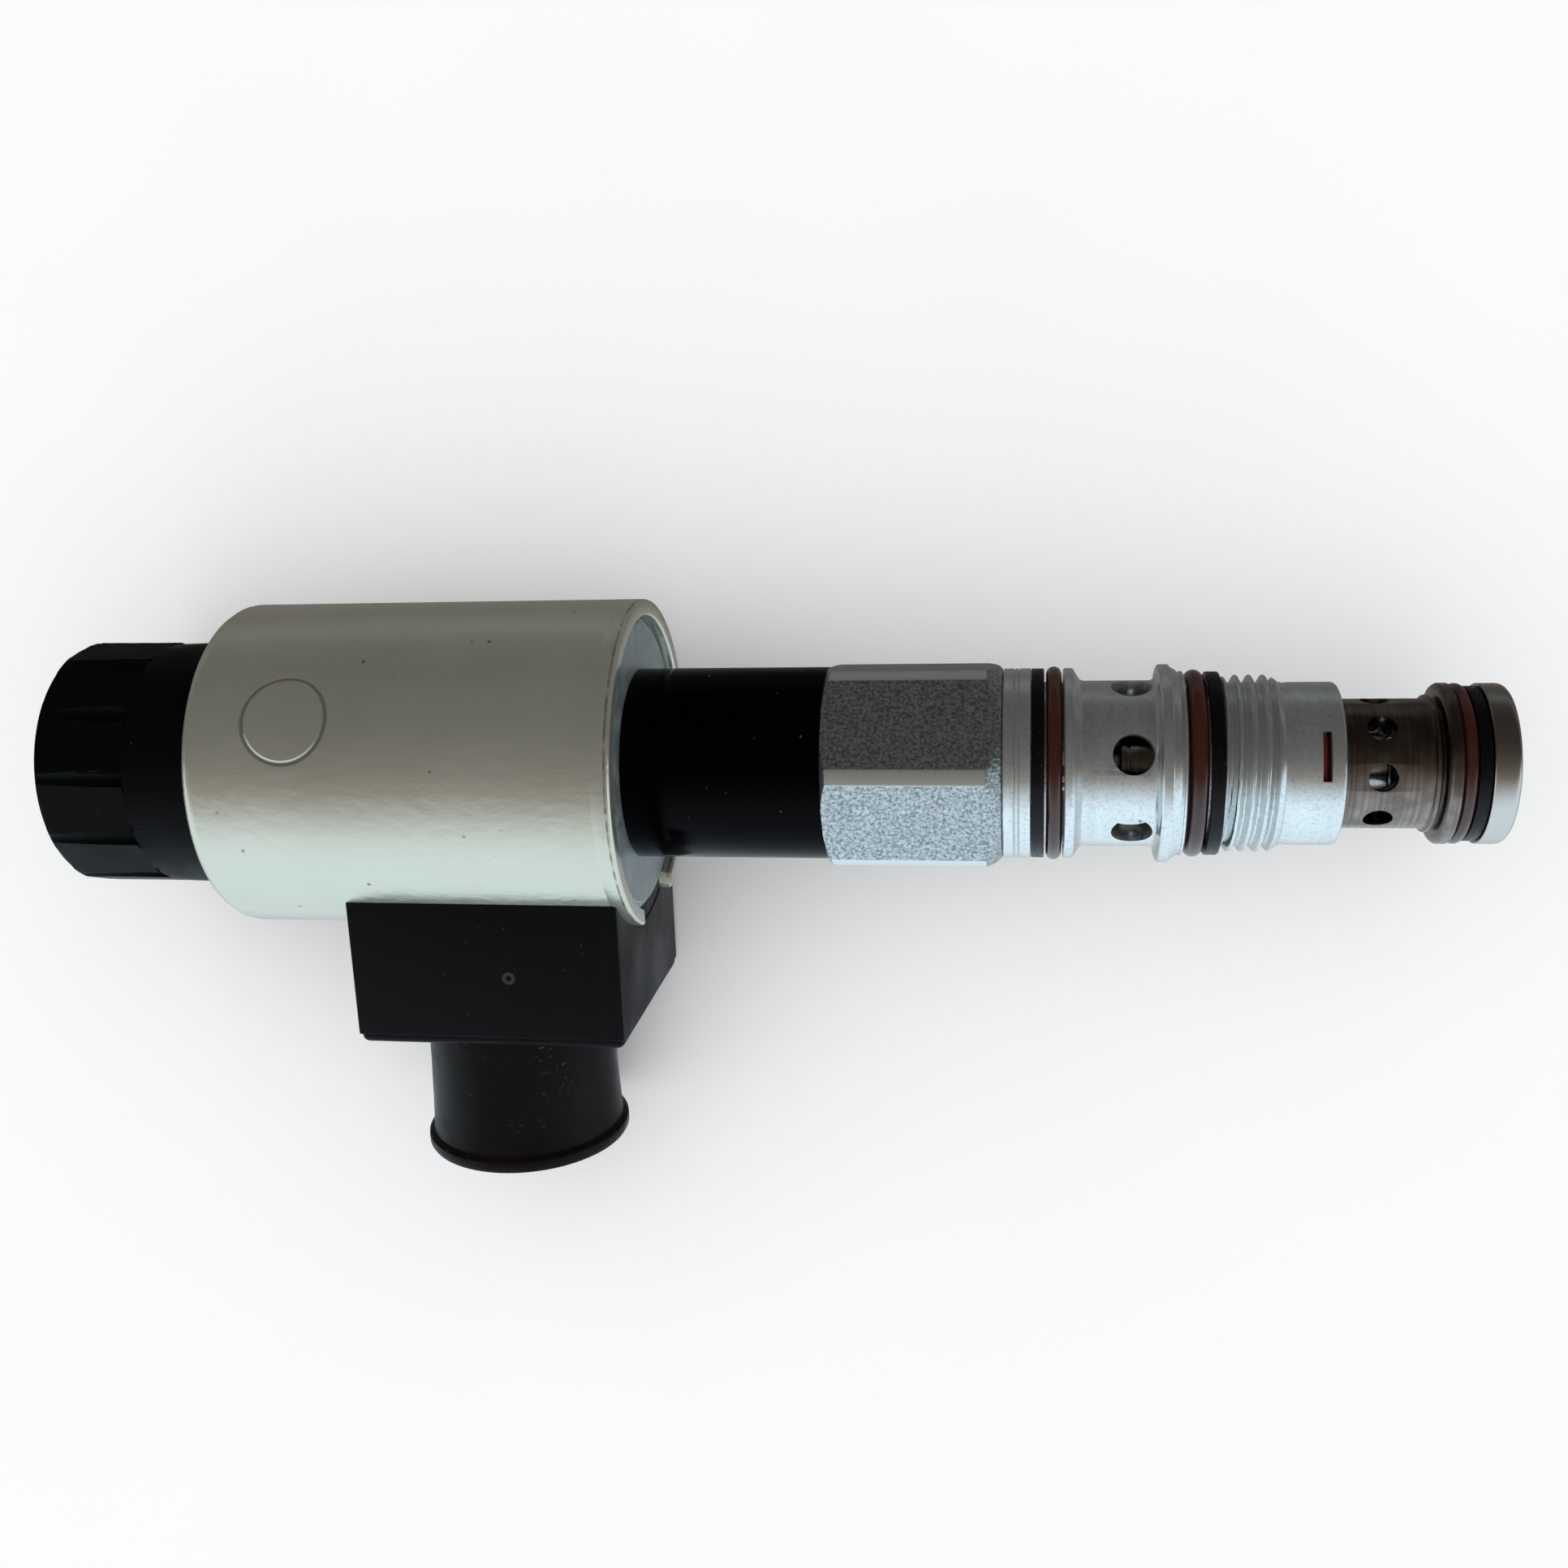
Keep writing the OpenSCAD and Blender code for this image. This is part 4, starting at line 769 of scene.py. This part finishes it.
start_clean()
bpy.ops.mesh.primitive_cylinder_add(vertices=6, radius=flat_r / math.cos(math.pi / 6) * mm,
                                    depth=(hex_right - hex_left) * mm, location=(0, 0, 0))
hexagon = bpy.context.object
hexagon.name = "wrench_hexagon"
hexagon.rotation_euler = (0, -math.pi / 2, 0)
settle(hexagon)
hexagon.rotation_euler = (math.pi / 6 - hex_turn, 0, 0)
hexagon.location = ((hex_left + hex_right) / 2 * mm, 0, 0)
settle(hexagon)
corners = turned("hexagon_corners",
                 [(hex_left - 1, 0), (hex_left - 1, 9), (hex_left, 11.25), (hex_left + 0.5, 12.1),
                  (hex_left + 0.75, corner_r), (hex_right - 1.75, corner_r), (hex_right - 1.45, 12.2),
                  (hex_right, land_r - 0.02), (hex_right + 1, land_r - 0.02), (hex_right + 1, 0)],
                 192)
modify(hexagon, "BOOLEAN", operation="INTERSECT", solver="EXACT", object=corners)
bpy.data.objects.remove(corners)
socket = turned("hexagon_bore",
                [(hex_left - 1, 0), (hex_left - 1, 8.75), (hex_right + 1, 8.75), (hex_right + 1, 0)], 96)
cut(hexagon, socket)
soften(hexagon, 0.08, 2, 25)

# Bright zinc: the lathe's fine rings show through it, with frosted spots where the plating is thin
bright_zinc = finish_of("bright_zinc_on_turned_steel", "#cdd1d0", 0.9, 0.2)
tool_lines = grain(bright_zinc, 0.32, 3, (1, 60, 60))
wide_lines = grain(bright_zinc, 1.6, 2, (1, 60, 60))
frost = grain(bright_zinc, 0.4, 3)
zinc_tone = add(bright_zinc, "Mix", {"data_type": "RGBA", 6: colour("#c3c8c8"), 7: colour("#dadede")},
                {0: wide_lines}).outputs[2]
zinc_tone = add(bright_zinc, "Mix", {"data_type": "RGBA", 7: colour("#b4b9ba")},
                {0: add(bright_zinc, "MapRange", {"From Min": 0.5, "From Max": 0.8},
                        {"Value": frost}),
                 6: zinc_tone}).outputs[2]
relief = add(bright_zinc, "Bump", {"Strength": 0.3, "Distance": 0.015 * mm}, {"Height": tool_lines})
relief = add(bright_zinc, "Bump", {"Strength": 0.06, "Distance": 0.008 * mm},
             {"Height": frost, "Normal": relief})
wire(bright_zinc, Base_Color=zinc_tone, Normal=relief,
     Roughness=add(bright_zinc, "MapRange",
                   {"From Min": 0.3, "From Max": 0.7, "To Min": 0.17, "To Max": 0.25}, {"Value": frost}))

# The hexagon's flats are pebble-blasted to a frosted grain; its turned corners keep fine cross lines,
# and a plain marking panel on each flat is blasted finer. Grain is drawn at about 0.4 mm so that it shows.
blasted_zinc = finish_of("blasted_zinc_hexagon", "#979c9d", 0.92, 0.34)
place = add(blasted_zinc, "TexCoord").outputs["Object"]
across = add(blasted_zinc, "VectorMath", {"operation": "MULTIPLY", 1: (0, 1, 1)}, {0: place})
from_axis = add(blasted_zinc, "VectorMath", {"operation": "LENGTH"}, {0: across}).outputs["Value"]
on_corner = add(blasted_zinc, "MapRange",
                {"From Min": (corner_r - 0.035) * mm, "From Max": (corner_r - 0.02) * mm},
                {"Value": from_axis})
along = add(blasted_zinc, "SeparateXYZ", {}, {0: place}).outputs["X"]
panel_mask = line_at(blasted_zinc, along, hex_left + 11, 4.1, 4.3)
pebble = grain(blasted_zinc, 0.42, 2)
fine_pebble = grain(blasted_zinc, 0.22, 2)
corner_lines = grain(blasted_zinc, 0.3, 2, (1, 80, 80))
blast = add(blasted_zinc, "Mix", {"data_type": "FLOAT"}, {0: panel_mask, 2: pebble, 3: fine_pebble})
surface = add(blasted_zinc, "Mix", {"data_type": "FLOAT"}, {0: on_corner, 2: blast, 3: corner_lines})
blast_tone = add(blasted_zinc, "Mix", {"data_type": "RGBA", 6: colour("#74787a"), 7: colour("#babfc0")},
                 {0: add(blasted_zinc, "MapRange", {"From Min": 0.34, "From Max": 0.66},
                         {"Value": grain(blasted_zinc, 0.34, 2)})}).outputs[2]
blast_tone = add(blasted_zinc, "Mix", {"data_type": "RGBA", 7: colour("#cdd1d0")},
                 {0: on_corner, 6: blast_tone}).outputs[2]
relief = add(blasted_zinc, "Bump", {"Strength": 0.85, "Distance": 0.09 * mm}, {"Height": surface})
wire(blasted_zinc, Base_Color=blast_tone, Normal=relief,
     Roughness=add(blasted_zinc, "MapRange", {"To Min": 0.3, "To Max": 0.2}, {"Value": on_corner}))
for piece, material in ((body, bright_zinc), (hexagon, blasted_zinc)):
    piece.data.materials.clear()
    piece.data.materials.append(material)
hand_in(body, "cartridge", "zinc_body", None, "valve_body", smooth=25)
hand_in(hexagon, "cartridge", "zinc_body", None, "valve_body", smooth=20)

# Retaining wire: hard spring wire in red lacquer, fed through the slot to hold the floating nose.
# Red lacquer: a dip coat, glossy and slightly uneven in depth
red_lacquer = finish_of("red_lacquered_spring_wire", "#5a0c10", 0, 0.3)
lacquer_runs = grain(red_lacquer, 1.2, 2)
wire(red_lacquer,
     Base_Color=add(red_lacquer, "Mix", {"data_type": "RGBA", 6: colour("#4a080c"), 7: colour("#6e1216")},
                    {0: lacquer_runs}).outputs[2],
     Normal=add(red_lacquer, "Bump", {"Strength": 0.2, "Distance": 0.03 * mm}, {"Height": lacquer_runs}))
dress(red_lacquer, "retaining_wire")

# Nose sleeve: hardened steel, left unplated after heat treatment, so it is dark with a brown cast.
# It floats in the body, has eight lower-port holes, and its ground end land is bright.
nose_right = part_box("nose_sleeve")[1].x / mm
neck_r, neck_right, first_land_r, end_land_r = 7.2, 28.425, 8.9, 8.85
sleeve_outline = [(-5.5, 3.6), (-5.5, 5.4), (-5.3, 5.6), (-4.75, 5.6), (-4.7, 5.2), (-4.4, 5.2),
                  (-4.35, 5.6), (1.3, 5.6), (1.4, 6.9), (1.7, neck_r), (15.2, neck_r), (15.3, 6.7),
                  (16.6, 6.7), (16.7, neck_r), (22, neck_r), (27.3, neck_r), (27.42, 7.35), (27.5, 7.6),
                  (27.9, 7.6), (28.0, 7.3), (28.1, 7.02), (neck_right, 7.0), (neck_right, 8.15),
                  (28.5, 8.45), (28.65, 8.72), (28.9, first_land_r), (29.8, first_land_r),
                  (29.925, first_land_r - 0.12), (29.925, 7.35), (32.925, 7.35), (32.925, end_land_r - 0.1),
                  (33.02, end_land_r), (34.9, end_land_r), (35.25, end_land_r - 0.06),
                  (35.5, end_land_r - 0.2), (35.7, end_land_r - 0.45), (nose_right, end_land_r - 0.8),
                  (nose_right, 5.3), (nose_right - 0.2, 4.95), (nose_right - 0.5, 4.8),
                  (nose_right - 7, 4.8), (nose_right - 7, 3.6), (24.0, 3.6), (24.0, 5.2), (20.3, 5.2),
                  (20.3, 3.6)]
sleeve = turned("floating_nose", sleeve_outline, 192)
hole_r, hole_station, first_hole = 1.55, 22.125, -7.3
cut(sleeve,
    *[drill(hole_r, hole_station, math.radians(first_hole + 45 * hole), 9, 4.4) for hole in range(8)])
soften(sleeve, 0.05, 2, 50)
# Heat-treated steel: a brown oxide film in patches over turning lines, ground bright on the end land
dark_steel = finish_of("heat_treated_steel", "#6b625c", 1, 0.22)
place = add(dark_steel, "TexCoord").outputs["Object"]
along = add(dark_steel, "SeparateXYZ", {}, {0: place}).outputs["X"]
ground_end = add(dark_steel, "MapRange", {"From Min": 32.9 * mm, "From Max": 33.0 * mm}, {"Value": along})
turning = grain(dark_steel, 0.35, 3, (1, 60, 60))
scale_patches = grain(dark_steel, 2.2, 3)
steel_tone = add(dark_steel, "Mix", {"data_type": "RGBA", 6: colour("#6b625b"), 7: colour("#8a817a")},
                 {0: add(dark_steel, "MapRange", {"From Min": 0.35, "From Max": 0.65},
                         {"Value": scale_patches})}).outputs[2]
steel_tone = add(dark_steel, "Mix", {"data_type": "RGBA", 7: colour("#5c544e")},
                 {0: add(dark_steel, "MapRange", {"From Min": 0.4, "From Max": 0.8},
                         {"Value": turning}),
                  6: steel_tone}).outputs[2]
steel_tone = add(dark_steel, "Mix", {"data_type": "RGBA", 7: colour("#b9b6b2")},
                 {0: ground_end, 6: steel_tone}).outputs[2]
relief = add(dark_steel, "Bump", {"Strength": 0.25, "Distance": 0.015 * mm}, {"Height": turning})
relief = add(dark_steel, "Bump", {"Strength": 0.15, "Distance": 0.02 * mm},
             {"Height": grain(dark_steel, 0.4, 2), "Normal": relief})
wire(dark_steel, Base_Color=steel_tone, Normal=relief,
     Roughness=add(dark_steel, "MapRange",
                   {"From Min": 0.3, "From Max": 0.7, "To Min": 0.16, "To Max": 0.27},
                   {"Value": scale_patches}))
hand_in(sleeve, "nose", "nose_steel", dark_steel, "nose_sleeve", smooth=25)

# Return spring: cold-wound spring wire, five coils, between the spool and the seat in the nose.
spring_low, spring_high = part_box("return_spring")
spring_r, spring_wire, spring_coils = 3.0, 0.6, 5
start_clean()
bpy.ops.mesh.primitive_circle_add(vertices=16, radius=spring_wire / 2 * mm, fill_type="NOTHING",
                                  location=(spring_low.x + 0.3 * mm, 0, spring_r * mm),
                                  rotation=(math.pi / 2, 0, 0))
spring = bpy.context.object
spring.name = "wound_spring"
settle(spring)
modify(spring, "SCREW", axis="X", angle=math.tau * (spring_coils - 1), steps=192, render_steps=192,
       screw_offset=spring_high.x - spring_low.x - spring_wire * mm, use_normal_calculate=True)
pick(spring)
bpy.ops.object.mode_set(mode="EDIT")
bpy.ops.mesh.select_all(action="SELECT")
bpy.ops.mesh.fill_holes(sides=16)
bpy.ops.mesh.normals_make_consistent(inside=False)
bpy.ops.object.mode_set(mode="OBJECT")
# Cold-drawn wire: grey and smooth, with a faint draw grain
spring_steel = finish_of("cold_drawn_spring_wire", "#77777a", 1, 0.3)
wire(spring_steel,
     Normal=add(spring_steel, "Bump", {"Strength": 0.2, "Distance": 0.01 * mm},
                {"Height": grain(spring_steel, 0.3, 2)}),
     Base_Color=add(spring_steel, "Mix", {"data_type": "RGBA", 6: colour("#66666a"), 7: colour("#8b8b8e")},
                    {0: grain(spring_steel, 1.5, 2)}).outputs[2])
hand_in(spring, "nose", "spring_steel", spring_steel, "return_spring")
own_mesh(spring)

low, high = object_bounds()
